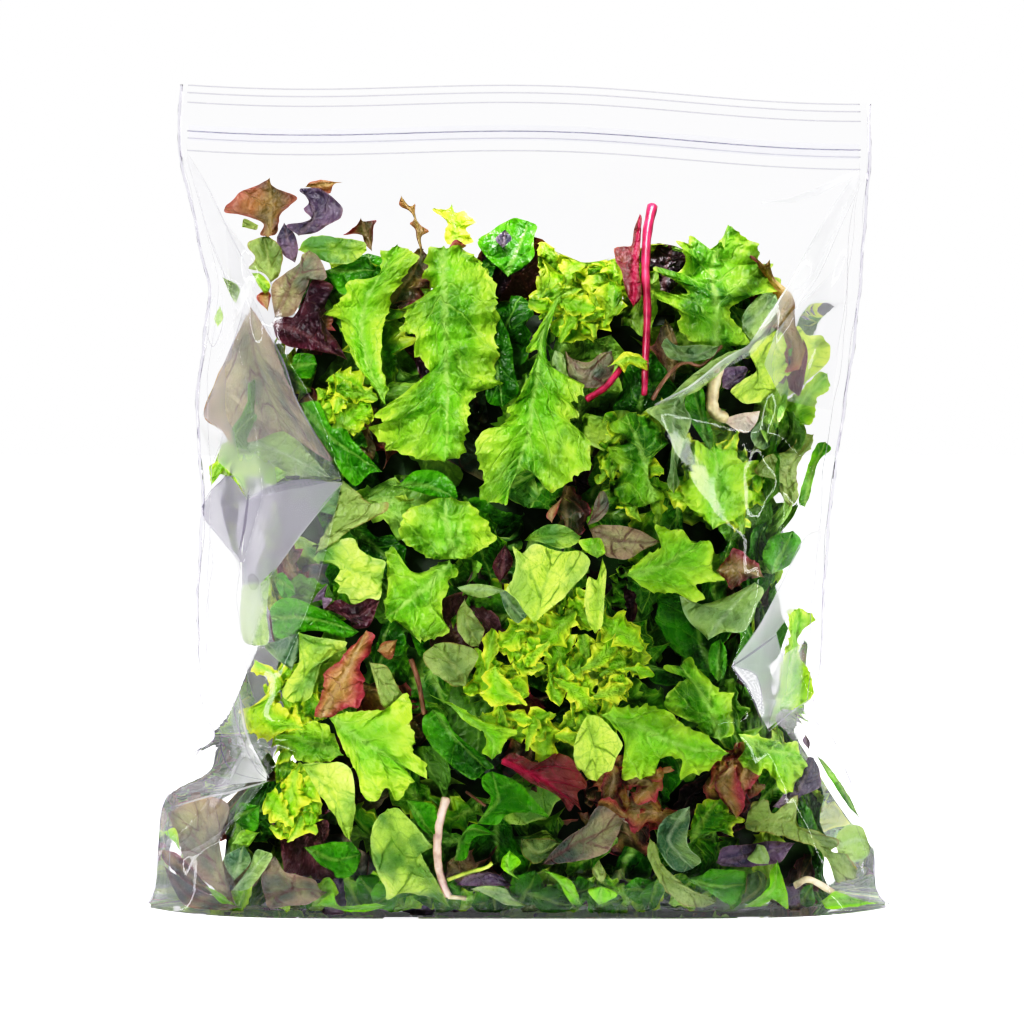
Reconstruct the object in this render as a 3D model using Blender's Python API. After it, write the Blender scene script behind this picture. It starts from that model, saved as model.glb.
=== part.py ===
"""Clear resealable bag full of salad leaves, standing on its opened bottom gusset.

The filled bag is one solid: a loft of lens-shaped rings that share a side seam at the left
and at the right. It is a flat foot at the floor, a pillow at mid height and a thin web at the
mouth. Where the sides draw in, darts crease them: flat facets that meet in a valley. The
mouth ends in two lips with a slot between them, and the two halves of the press-to-close
zip lie in that slot.

Units are metres, +Z is up, the front panel faces -Y, and the origin is at the middle of the foot.
"""

import math

import bmesh
import bpy
from mathutils import Vector

MM = 0.001

# Driving sizes, in millimetres.
BAG_HEIGHT = 323.0
SHOULDER_LEVEL = 195.0
MOUTH_LEVEL = 299.0
WEB_HALF = 1.45
FOOT_ROUND = 1.6
FOOT_INSET = 0.975
SIDE_WELD = 2.5
WELD_TO_SLOT = 1.0
CUTTER_OVERRUN = 5.0
LIP_WALL = 0.4
FRONT_LIP_DROP = 3.0
ZIP_LEVEL = 301.0
ZIP_HEIGHT = 6.0
ZIP_FLANGE = 0.35
ZIP_CLEARANCE = 0.3
ZIP_BEAD = 1.0
ZIP_BEAD_REACH = 0.1
ZIP_BEAD_STEP = 1.9

# How the mouth tilts and waves, how the zip bows, and how far the foot's ears lean forwards.
MOUTH_TILT = -0.0235
MOUTH_WAVE = 2.1
WAVE_RATE = 1.63
WAVE_CREST = 18.0
ZIP_BOW = 5.0
BOW_RATE = 1.25
BOW_START = 12.0
EAR_LEAN = -9.0
EAR_REACH = 147.0
EAR_HEIGHT = 60.0

# Mesh density.
PANEL_COLUMNS = 36
EDGE_CROWDING = 0.4
BODY_LEVELS = 46
MOUTH_COLUMNS = 40

# (height, place) of the side seams, and (height, size) of what shapes the rings between them.
LEFT_SEAM = (
    (0, -147), (3, -145.3), (9, -143.3), (24, -142.6), (38, -141.5), (48, -136.5), (58, -131),
    (67, -120.5), (76, -125), (88, -127), (120, -127), (160, -125), (197, -127), (225, -124),
    (242, -122), (257, -125), (280, -130), (299, -134), (323, -133),
)
RIGHT_SEAM = (
    (0, 147), (3, 143.8), (9, 141.4), (22, 141), (34, 137.4), (50, 131.6), (62, 127.2), (70, 123),
    (77, 115.5), (86, 120), (120, 121), (160, 124), (197, 129), (225, 133), (257, 136),
    (280, 137.5), (299, 139), (323, 139),
)
HALF_DEPTH = (
    (0, 37), (12, 43), (45, 49), (100, 51), (160, 49), (202, 43), (242, 31),
    (268, 18), (286, 7), (295, 2.4), (299, WEB_HALF), (323, WEB_HALF),
)
SQUARENESS = (
    (0, 5.5), (25, 4.4), (60, 3.4), (160, 3.0), (237, 2.6), (278, 3.0), (290, 12),
    (299, 200), (323, 200),
)

# A dart is two flat facets that meet in a valley: (x, level) of the valley's tip on the full
# panel and of its foot near the seam, then the facets' far corners above and below.
FRONT_DARTS = (
    ((-67, 169), (-106, 161), (-106, 241), (-88, 104)),
    ((-96, 56), (-112, 62), (-112, 96), (-118, 30)),
    ((83, 97), (112, 92), (112, 160), (100, 60)),
    ((51, 197), (112, 184), (126, 262), (80, 150)),
)
BACK_DARTS = (
    ((62, 158), (106, 148), (104, 232), (88, 90)),
    ((92, 60), (112, 68), (108, 104), (116, 30)),
    ((-74, 112), (-110, 98), (-108, 180), (-100, 54)),
    ((-70, 210), (-112, 216), (-116, 270), (-100, 176)),
)
VALLEY_FOOT = 3.0
DENT_LIMIT = 0.35
DART_FADE = 12.0


def smooth(t):
    """Ease from 0 to 1."""
    t = min(max(t, 0.0), 1.0)
    return t * t * (3 - 2 * t)


def slope_at(stations, i):
    """Slope of a smooth curve at a station: level at a peak, else the flatter side's limit."""
    if i in (0, len(stations) - 1):
        return 0.0
    (low, first), (mid, here), (high, last) = stations[i - 1:i + 2]
    before = (here - first) / (mid - low)
    after = (last - here) / (high - mid)
    if before * after <= 0:
        return 0.0
    return math.copysign(min(abs(before + after) / 2, 3 * abs(before), 3 * abs(after)), before)


def along(stations, level):
    """Value at a level on a smooth curve through the stations that never overshoots them."""
    for i, ((low, first), (high, second)) in enumerate(zip(stations, stations[1:])):
        if level <= high:
            run = high - low
            t = (level - low) / run
            start, end = slope_at(stations, i) * run, slope_at(stations, i + 1) * run
            bend = start * t * (1 - t) ** 2 - end * t * t * (1 - t)
            return first + (second - first) * smooth(t) + bend
    return stations[-1][1]


def mouth_share(level):
    """0 on the filled body, 1 at the mouth."""
    return smooth((level - SHOULDER_LEVEL) / (MOUTH_LEVEL - SHOULDER_LEVEL))


def height_at(x, level):
    """Real height of a level line, which tilts and waves towards the mouth."""
    tilt = MOUTH_TILT * x
    wave = MOUTH_WAVE * math.cos(math.radians(WAVE_RATE * (x - WAVE_CREST)))
    return level + mouth_share(level) * (tilt + wave)


def middle_at(x, level):
    """Depth of the plane between the panels, which the stiff zip bows and the foot's ears lean."""
    bow = mouth_share(level) * ZIP_BOW * math.sin(math.radians(BOW_RATE * (x - BOW_START)))
    lean = EAR_LEAN * (x / EAR_REACH) ** 4 * (1 - smooth(level / EAR_HEIGHT))
    return bow + lean


def pillow(x, level):
    """How far a full, uncreased panel stands off the middle plane."""
    left, right = along(LEFT_SEAM, level), along(RIGHT_SEAM, level)
    across = (2 * x - left - right) / (right - left)
    return along(HALF_DEPTH, level) * max(1 - abs(across) ** along(SQUARENESS, level), 0.0)


def facet(corners):
    """The plane depth = a * x + b * level + c through three (x, level, depth) corners."""
    first, second, third = (Vector(corner) for corner in corners)
    normal = (second - first).cross(third - first)
    return -normal.x / normal.z, -normal.y / normal.z, first.dot(normal) / normal.z


def dart_facets(dart):
    """Both facets of a dart, which share its valley, and the levels between which they lie."""
    tip, foot, upper, lower = dart
    valley = [(*tip, pillow(*tip)), (*foot, VALLEY_FOOT)]
    pair = [facet([*valley, (*corner, pillow(*corner))]) for corner in (upper, lower)]
    return pair, lower[1], upper[1]


def panel_depth(x, level, darts):
    """How far a creased panel stands off the middle plane."""
    full = pillow(x, level)
    depth = full
    for pair, low, high in darts:
        outside = max(low - level, level - high, 0.0)
        dent = full - max(a * x + b * level + c for a, b, c in pair)
        depth = min(depth, full - dent * (1 - smooth(outside / DART_FADE)))
    return max(depth, DENT_LIMIT * full)


def panel_point(across, level, side, darts):
    """Point of a panel. across runs from -1 at the left seam to 1 at the right; side is -1 in front."""
    left, right = along(LEFT_SEAM, level), along(RIGHT_SEAM, level)
    x = (left + right) / 2 + (right - left) / 2 * across
    y = middle_at(x, level) + side * panel_depth(x, level, darts)
    return x * MM, y * MM, height_at(x, level) * MM


def across_stations():
    """Places across a panel: both seams, the inner edges of their welds, and closer steps near them."""
    weld = 1 - SIDE_WELD / RIGHT_SEAM[-1][1]
    steps = [2 * i / PANEL_COLUMNS - 1 for i in range(PANEL_COLUMNS + 1)]
    crowd = EDGE_CROWDING
    inner = [weld * (crowd * math.sin(math.pi / 2 * t) + (1 - crowd) * t) for t in steps]
    return [-1.0, *inner, 1.0]


def body_levels():
    """Heights of the rings: the rounded edge of the foot, then even steps to the rim."""
    step = (BAG_HEIGHT - 2 * FOOT_ROUND) / BODY_LEVELS
    return [0.0, FOOT_ROUND] + [2 * FOOT_ROUND + step * i for i in range(BODY_LEVELS + 1)]


def material(name, colour, roughness, alpha=1.0):
    made = bpy.data.materials.new(name)
    made.use_nodes = True
    shader = made.node_tree.nodes["Principled BSDF"]
    shader.inputs["Base Color"].default_value = (*colour, 1.0)
    shader.inputs["Roughness"].default_value = roughness
    shader.inputs["Metallic"].default_value = 0.0
    shader.inputs["Alpha"].default_value = alpha
    made.diffuse_color = (*colour, alpha)
    return made


def new_object(name, mesh, collection, finish=None):
    obj = bpy.data.objects.new(name, mesh)
    collection.objects.link(obj)
    if finish:
        mesh.materials.append(finish)
        mesh.shade_smooth()
        mesh.set_sharp_from_angle(angle=math.radians(40))
    return obj


def new_collection(name):
    made = bpy.data.collections.new(name)
    bpy.context.scene.collection.children.link(made)
    return made


def filled_bag(collection, finish):
    """The bag as a loft of rings, each a front panel row and a back panel row with shared seams."""
    bm = bmesh.new()
    stations = across_stations()
    front = [dart_facets(dart) for dart in FRONT_DARTS]
    back = [dart_facets(dart) for dart in BACK_DARTS]
    rings = []
    for level in body_levels():
        inset = FOOT_INSET if level == 0 else 1.0
        row = [panel_point(a * inset, level, -1, front) for a in stations]
        row += [panel_point(a * inset, level, 1, back) for a in reversed(stations[1:-1])]
        rings.append([bm.verts.new(point) for point in row])
    count = len(rings[0])
    for low, high in zip(rings, rings[1:]):
        for i in range(count):
            j = (i + 1) % count
            bm.faces.new((low[i], low[j], high[j], high[i]))
    bm.faces.new(reversed(rings[0]))
    bm.faces.new(rings[-1])
    bmesh.ops.recalc_face_normals(bm, faces=bm.faces)
    mesh = bpy.data.meshes.new("bag")
    bm.to_mesh(mesh)
    bm.free()
    return new_object("bag", mesh, collection, finish)


def mouth_stations(end_gap):
    """Places across the mouth, from one end of the slot to the other, less a gap at both ends."""
    inset = SIDE_WELD + WELD_TO_SLOT + end_gap
    left = LEFT_SEAM[-2][1] + inset
    right = RIGHT_SEAM[-2][1] - inset
    return [left + (right - left) * i / MOUTH_COLUMNS for i in range(MOUTH_COLUMNS + 1)]


def mouth_bar(name, profile, collection, finish=None, end_gap=0.0):
    """A bar swept along the mouth. The profile's points are (offset from the middle plane, level)."""
    bm = bmesh.new()
    rows = []
    for x in mouth_stations(end_gap):
        row = []
        for offset, level in profile:
            y = middle_at(x, level) + offset
            row.append(bm.verts.new((x * MM, y * MM, height_at(x, level) * MM)))
        rows.append(row)
    count = len(profile)
    for near, far in zip(rows, rows[1:]):
        for i in range(count):
            j = (i + 1) % count
            bm.faces.new((near[i], near[j], far[j], far[i]))
    bm.faces.new(rows[0])
    bm.faces.new(rows[-1])
    bmesh.ops.recalc_face_normals(bm, faces=bm.faces)
    mesh = bpy.data.meshes.new(name)
    bm.to_mesh(mesh)
    bm.free()
    return new_object(name, mesh, collection, finish)


def cut(target, cutter):
    """Takes the cutter's shape out of the target."""
    cutter.hide_render = True
    cutter.display_type = "WIRE"
    modifier = target.modifiers.new(cutter.name, "BOOLEAN")
    modifier.operation = "DIFFERENCE"
    modifier.object = cutter


def lip_cutter(collection):
    """The slot between the lips, which widens forwards above the lower front lip."""
    half = WEB_HALF - LIP_WALL
    clear = WEB_HALF + CUTTER_OVERRUN
    floor = ZIP_LEVEL - ZIP_CLEARANCE
    step = BAG_HEIGHT - FRONT_LIP_DROP
    over = BAG_HEIGHT + CUTTER_OVERRUN
    profile = (
        (-half, floor), (half, floor), (half, over), (-clear, over), (-clear, step), (-half, step),
    )
    return mouth_bar("lip_slot", profile, collection)


def zip_profile(side, bead_levels):
    """Half of the zip: a flat flange with beads that reach towards the other half."""
    outer = (WEB_HALF - LIP_WALL - ZIP_CLEARANCE) * side
    inner = outer - ZIP_FLANGE * side
    tip = -ZIP_BEAD_REACH * side
    points = [(outer, ZIP_LEVEL + ZIP_HEIGHT), (outer, ZIP_LEVEL), (inner, ZIP_LEVEL)]
    for level in bead_levels:
        low, high = level - ZIP_BEAD / 2, level + ZIP_BEAD / 2
        points += [(inner, low), (tip, low), (tip, high), (inner, high)]
    return (*points, (inner, ZIP_LEVEL + ZIP_HEIGHT))


def main():
    for obj in list(bpy.data.objects):
        bpy.data.objects.remove(obj, do_unlink=True)
    pieces = new_collection("salad_bag")
    cutters = new_collection("cutters")
    salad = material("leaves_in_film", (0.16, 0.36, 0.05), 0.35)
    track = material("zip_film", (0.86, 0.85, 0.92), 0.25, alpha=0.5)

    bag = filled_bag(pieces, salad)
    cut(bag, lip_cutter(cutters))

    middle = ZIP_LEVEL + ZIP_HEIGHT / 2
    beads = {
        "zip_track_front": (-1, [middle]),
        "zip_track_back": (1, [middle - ZIP_BEAD_STEP, middle + ZIP_BEAD_STEP]),
    }
    for name, (side, levels) in beads.items():
        mouth_bar(name, zip_profile(side, levels), pieces, track, ZIP_CLEARANCE)


main()
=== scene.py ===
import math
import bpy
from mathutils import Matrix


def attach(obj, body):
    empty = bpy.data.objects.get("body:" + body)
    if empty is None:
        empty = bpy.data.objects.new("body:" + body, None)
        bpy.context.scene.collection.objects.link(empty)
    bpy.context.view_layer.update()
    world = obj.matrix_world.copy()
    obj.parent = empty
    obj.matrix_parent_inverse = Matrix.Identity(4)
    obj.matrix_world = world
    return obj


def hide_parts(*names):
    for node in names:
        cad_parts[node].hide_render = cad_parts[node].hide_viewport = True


bl_info = {
    "name": "Salad Bag",
    "version": (1, 0, 0),
    "blender": (4, 5, 0),
    "location": "View3D > Sidebar > Salad Bag",
    "description": "Fills a clear resealable bag with mixed salad leaves, around its packed frame",
    "category": "Add Mesh",
}

import bmesh
import bpy
import numpy as np
from mathutils import Vector

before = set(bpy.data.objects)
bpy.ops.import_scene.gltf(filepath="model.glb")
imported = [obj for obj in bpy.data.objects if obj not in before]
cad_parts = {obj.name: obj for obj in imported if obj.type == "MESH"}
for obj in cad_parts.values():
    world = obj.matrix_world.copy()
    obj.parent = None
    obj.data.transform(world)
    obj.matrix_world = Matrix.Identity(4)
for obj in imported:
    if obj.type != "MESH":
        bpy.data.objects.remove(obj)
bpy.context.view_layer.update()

MM = 0.001

# ---------------------------------------------------------------- shape of the bag, in millimetres
BAG_HEIGHT = 323.0
SHOULDER_LEVEL = 195.0
MOUTH_LEVEL = 299.0
ZIP_MIDDLE = 304.0
FRONT_LIP_DROP = 3.0
LEFT_SEAM = (
    (0, -147), (3, -145.3), (9, -143.3), (24, -142.6), (38, -141.5), (48, -136.5), (58, -131),
    (67, -120.5), (76, -125), (88, -127), (120, -127), (160, -125), (197, -127), (225, -124),
    (242, -122), (257, -125), (280, -130), (299, -134), (323, -133),
)
RIGHT_SEAM = (
    (0, 147), (3, 143.8), (9, 141.4), (22, 141), (34, 137.4), (50, 131.6), (62, 127.2), (70, 123),
    (77, 115.5), (86, 120), (120, 121), (160, 124), (197, 129), (225, 133), (257, 136),
    (280, 137.5), (299, 139), (323, 139),
)
HALF_DEPTH = (
    (0, 37), (12, 43), (45, 49), (100, 51), (160, 49), (202, 43), (242, 31),
    (268, 18), (286, 7), (295, 2.4), (299, 1.45), (323, 1.45),
)
SQUARENESS = (
    (0, 5.5), (25, 4.4), (60, 3.4), (160, 3.0), (237, 2.6), (278, 3.0), (290, 12),
    (299, 200), (323, 200),
)
FRONT_DARTS = (
    ((-67, 169), (-106, 161), (-106, 241), (-88, 104)),
    ((-96, 56), (-112, 62), (-112, 96), (-118, 30)),
    ((83, 97), (112, 92), (112, 160), (100, 60)),
    ((51, 197), (112, 184), (126, 262), (80, 150)),
)
BACK_DARTS = (
    ((62, 158), (106, 148), (104, 232), (88, 90)),
    ((92, 60), (112, 68), (108, 104), (116, 30)),
    ((-74, 112), (-110, 98), (-108, 180), (-100, 54)),
    ((-70, 210), (-112, 216), (-116, 270), (-100, 176)),
)
VALLEY_FOOT = 3.0
DENT_LIMIT = 0.35
DART_FADE = 12.0
RIDGE_ROUND = 0.7


def ease(t):
    """Ease from 0 to 1, on numbers or arrays."""
    t = np.clip(t, 0.0, 1.0)
    return t * t * (3 - 2 * t)


def slope_at(stations, i):
    if i in (0, len(stations) - 1):
        return 0.0
    (low, first), (mid, here), (high, last) = stations[i - 1:i + 2]
    before = (here - first) / (mid - low)
    after = (last - here) / (high - mid)
    if before * after <= 0:
        return 0.0
    return math.copysign(min(abs(before + after) / 2, 3 * abs(before), 3 * abs(after)), before)


def along(stations, level):
    """Value at a level on a smooth curve through the stations that never overshoots them."""
    for i, ((low, first), (high, second)) in enumerate(zip(stations, stations[1:])):
        if level <= high:
            run = high - low
            t = (level - low) / run
            start, end = slope_at(stations, i) * run, slope_at(stations, i + 1) * run
            bend = start * t * (1 - t) ** 2 - end * t * t * (1 - t)
            return first + (second - first) * float(ease(t)) + bend
    return stations[-1][1]


LEVELS = np.arange(0.0, BAG_HEIGHT + 1)


def tabled(stations):
    values = np.array([along(stations, level) for level in LEVELS])
    return lambda level: np.interp(level, LEVELS, values)


left_seam, right_seam = tabled(LEFT_SEAM), tabled(RIGHT_SEAM)
half_depth, squareness = tabled(HALF_DEPTH), tabled(SQUARENESS)


def mouth_share(level):
    return ease((level - SHOULDER_LEVEL) / (MOUTH_LEVEL - SHOULDER_LEVEL))


def mouth_rise(x, level):
    """How far a level line is lifted by the mouth's tilt and wave."""
    return mouth_share(level) * (2.1 * np.cos(np.radians(1.63 * (x - 18))) - 0.0235 * x)


def middle_at(x, level):
    bow = mouth_share(level) * 5.0 * np.sin(np.radians(1.25 * (x - 12)))
    return bow - 9.0 * (x / 147.0) ** 4 * (1 - ease(level / 60.0))


def pillow(x, level):
    left, right = left_seam(level), right_seam(level)
    across = np.clip(np.abs((2 * x - left - right) / (right - left)), 0, 1)
    return half_depth(level) * (1 - across ** squareness(level))


def facet(corners):
    """The plane depth = a * x + b * level + c through three corners."""
    first, second, third = (np.array(corner, float) for corner in corners)
    normal = np.cross(second - first, third - first)
    return -normal[0] / normal[2], -normal[1] / normal[2], float(first @ normal) / normal[2]


def dart_facets(dart):
    tip, foot, upper, lower = dart
    valley = [(*tip, float(pillow(*tip))), (*foot, VALLEY_FOOT)]
    pair = [facet([*valley, (*corner, float(pillow(*corner)))]) for corner in (upper, lower)]
    return pair, lower[1], upper[1]


DARTS = {-1: [dart_facets(dart) for dart in FRONT_DARTS], 1: [dart_facets(dart) for dart in BACK_DARTS]}


def soft_min(a, b, reach):
    """The lower of two surfaces, with the edge between them rounded."""
    h = np.clip(0.5 + 0.5 * (b - a) / reach, 0, 1)
    return b * (1 - h) + a * h - reach * h * (1 - h)


def panel_depth(x, level, side, ridge=RIDGE_ROUND):
    """How far a creased panel stands off the middle plane."""
    full = pillow(x, level)
    depth = full
    for pair, low, high in DARTS[side]:
        outside = np.maximum(np.maximum(low - level, level - high), 0.0)
        (a0, b0, c0), (a1, b1, c1) = pair
        cut = np.maximum(a0 * x + b0 * level + c0, a1 * x + b1 * level + c1)
        dented = soft_min(full, cut, ridge)
        depth = np.minimum(depth, full - (full - dented) * (1 - ease(outside / DART_FADE)))
    return np.maximum(depth, DENT_LIMIT * full)


# ---------------------------------------------------------------- small tools
LATTICE = np.random.default_rng(5).random((64, 64))


def hills(x, y, size, shift=0.0):
    """Smooth random hills between -1 and 1, about one for each size."""
    gx, gy = x / size + shift, y / size + shift * 1.7
    i, j = np.floor(gx).astype(int), np.floor(gy).astype(int)
    fx, fy = ease(gx - i), ease(gy - j)
    i, j = i % 64, j % 64
    k, m = (i + 1) % 64, (j + 1) % 64
    low = LATTICE[i, j] * (1 - fx) + LATTICE[k, j] * fx
    high = LATTICE[i, m] * (1 - fx) + LATTICE[k, m] * fx
    return 2 * (low * (1 - fy) + high * fy) - 1


def link(name, mesh, material, body="root"):
    """An object of the bag, riding with its body."""
    obj = bpy.data.objects.new(name, mesh)
    bpy.context.scene.collection.objects.link(obj)
    mesh.materials.append(material)
    mesh.shade_smooth()
    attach(obj, body)
    return obj


def grid_faces(rows, columns, start=0):
    """Quads of a grid of points that is stored row by row."""
    i, j = np.meshgrid(np.arange(rows - 1), np.arange(columns - 1), indexing="ij")
    corner = (start + i * columns + j).ravel()
    return np.stack([corner, corner + 1, corner + columns + 1, corner + columns], axis=1)


def mesh_from(name, points, faces):
    """A mesh from arrays of points in millimetres and of quads."""
    mesh = bpy.data.meshes.new(name)
    mesh.vertices.add(len(points))
    mesh.vertices.foreach_set("co", (np.asarray(points, float) * MM).ravel())
    faces = np.asarray(faces, int)
    mesh.loops.add(faces.size)
    mesh.loops.foreach_set("vertex_index", faces.ravel())
    mesh.polygons.add(len(faces))
    mesh.polygons.foreach_set("loop_start", np.arange(0, faces.size, faces.shape[1]))
    mesh.update(calc_edges=True)
    mesh.validate()
    return mesh


def tidy_mesh(mesh, dist=0.00001, turn=True, close=False):
    """Joins doubled points and, if asked, closes open ends and points the faces out."""
    bm = bmesh.new()
    bm.from_mesh(mesh)
    bmesh.ops.remove_doubles(bm, verts=bm.verts, dist=dist)
    bmesh.ops.dissolve_degenerate(bm, dist=dist / 4, edges=bm.edges)
    if close:
        bmesh.ops.holes_fill(bm, edges=bm.edges, sides=0)
    if turn:
        bmesh.ops.recalc_face_normals(bm, faces=bm.faces)
    bm.to_mesh(mesh)
    bm.free()


class Graph:
    """A node tree that is written as formulas."""

    def __init__(self, tree):
        self.tree = tree

    def node(self, kind, settings=None, **inputs):
        made = self.tree.nodes.new(kind)
        for name, value in (settings or {}).items():
            setattr(made, name, value)
        for name, value in inputs.items():
            self.feed(made.inputs[name.replace("_", " ")], value)
        return made

    def feed(self, socket, value):
        if isinstance(value, bpy.types.NodeSocket):
            self.tree.links.new(value, socket)
        else:
            socket.default_value = value

    def math(self, operation, *values):
        made = self.tree.nodes.new("ShaderNodeMath")
        made.operation = operation
        for socket, value in zip(made.inputs, values):
            self.feed(socket, value)
        return made.outputs[0]

    def ramp(self, value, low, high, to_low=0.0, to_high=1.0):
        """Value eased from low..high to to_low..to_high."""
        made = self.node("ShaderNodeMapRange", {"interpolation_type": "SMOOTHSTEP"})
        for socket, number in zip(made.inputs, (value, low, high, to_low, to_high)):
            self.feed(socket, number)
        return made.outputs[0]

    def mix(self, share, first, second, blend="MIX"):
        made = self.node("ShaderNodeMix", {"data_type": "RGBA", "blend_type": blend})
        for index, value in ((0, share), (6, first), (7, second)):
            self.feed(made.inputs[index], value)
        return made.outputs[2]

    def noise(self, vector, scale, detail=2.0, roughness=0.5):
        made = self.node("ShaderNodeTexNoise")
        self.feed(made.inputs["Vector"], vector)
        made.inputs["Scale"].default_value = scale
        made.inputs["Detail"].default_value = detail
        made.inputs["Roughness"].default_value = roughness
        return made.outputs["Fac"]


def new_material(name):
    material = bpy.data.materials.new(name)
    material.use_nodes = True
    material.node_tree.nodes.clear()
    graph = Graph(material.node_tree)
    output = graph.node("ShaderNodeOutputMaterial")
    return material, graph, output


def rgb(colour):
    return (*colour[:3], 1.0)


# ---------------------------------------------------------------- film
FILM_COLUMNS = 190
FILM_LEVELS = 200
FOOT_ROWS = 24
FLOOR_GAP = 0.25

# Milky sheets on the front panel, partly doubled or crumpled film and partly painted reflections
# and glints of its facets, as sheets between a left and a right line of (x, level), with how milky
# each side is and how pale the milk is (0 grey lavender, 1 white).
VEILS = (
    (((-131, 293), (-126, 277), (-121, 261), (-116, 249), (-111, 237)),
     ((-130, 295), (-122, 282), (-114, 266), (-106, 251), (-105, 246)), (0.1, 0.2), 0.55),
    (((-106, 248), (-109, 243), (-112, 236)), ((-105, 247), (-104, 240), (-106, 233)), (0.75, 0.5), 1.0),
    (((-121, 240), (-123, 232), (-121, 222)), ((-117, 242), (-115, 232), (-118, 222)), (0.2, 0.3), 1.0),
    (((-107, 240), (-112, 224), (-125, 194), (-117, 187), (-119, 176), (-112, 170), (-107, 161)),
     ((-104, 240), (-98, 228), (-91, 214), (-86, 200), (-78, 186), (-68, 169)), (0.42, 0.24), 0.5),
    (((-116, 170), (-121, 165), (-126, 157), (-124, 152), (-116, 143), (-110, 136)),
     ((-114, 170), (-111, 167), (-107, 161), (-108, 148), (-109, 141), (-109, 136)), (0.8, 0.86), 0.12),
    (((-90, 168), (-100, 165), (-107, 161), (-108, 148), (-109, 139), (-109, 127)),
     ((-84, 169), (-67, 168), (-74, 161), (-84, 148), (-93, 136), (-101, 128)), (0.86, 0.78), 0.16),
    (((-109, 128), (-111, 118), (-109, 104)), ((-101, 129), (-99, 118), (-104, 104)), (0.5, 0.3), 0.8),
    (((-124, 152), (-121, 138), (-124, 118), (-124, 90)),
     ((-110, 137), (-111, 120), (-109, 105), (-109, 86)), (0.3, 0.42), 0.8),
    (((-124, 88), (-122, 76), (-119, 68)), ((-109, 86), (-105, 67), (-97, 54)), (0.1, 0.3), 1.0),
    (((-106, 68), (-112, 56), (-114, 49)), ((-105, 67), (-97, 55), (-97, 53)), (0.35, 0.75), 1.0),
    (((-140, 38), (-143, 22), (-144, 6)), ((-120, 43), (-113, 27), (-108, 8)), (0.24, 0.12), 0.5),
    # Painted reflection: the broad white streak down the right is light mirrored in the film.
    (((134, 296), (124, 281), (114, 263), (103, 243), (96, 232), (90, 222), (81, 217), (66, 205), (52, 198)),
     ((136, 292), (128, 275), (118, 252), (109, 240), (101, 229), (91, 218), (82, 213), (67, 203), (52, 197)),
     (0.32, 0.22), 1.0),
    (((120, 249), (110, 239), (101, 228), (96, 214), (104, 200)),
     ((130, 262), (129, 240), (127, 220), (125, 206), (124, 196)), (0.3, 0.1), 0.85),
    (((134, 297), (119, 289), (108, 284), (96, 282)), ((135, 295), (119, 286), (108, 282), (96, 281)),
     (0.5, 0.7), 1.0),
    (((114, 148), (104, 130), (94, 113), (83, 99)), ((121, 149), (116, 129), (112, 121), (101, 109)),
     (0.55, 0.4), 0.9),
    (((83, 99), (82, 97), (90, 88), (95, 76)), ((101, 109), (104, 98), (101, 86), (97, 72)), (0.7, 0.6), 0.6),
    # Painted glint: a small white facet at the tip of a dent.
    (((83, 97), (89, 88), (95, 76)), ((84, 97), (93, 93), (96, 78)), (0.95, 0.95), 1.0),
    (((104, 100), (101, 86), (97, 72)), ((112, 104), (113, 92), (111, 80)), (0.4, 0.15), 0.9),
    (((112, 78), (121, 69), (130, 53), (137, 36)),
     ((117, 76), (125, 67), (133, 51), (139, 36)), (0.5, 0.3), 0.8),
    # Painted reflection: the grey sheet along the foot is the floor mirrored in the film.
    (((-138, 3), (-60, 3.5), (10, 3.5), (138, 3)),
     ((-139, 24), (-60, 22), (10, 20), (139, 23)), (0.2, 0.0), 0.15),
)
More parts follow.
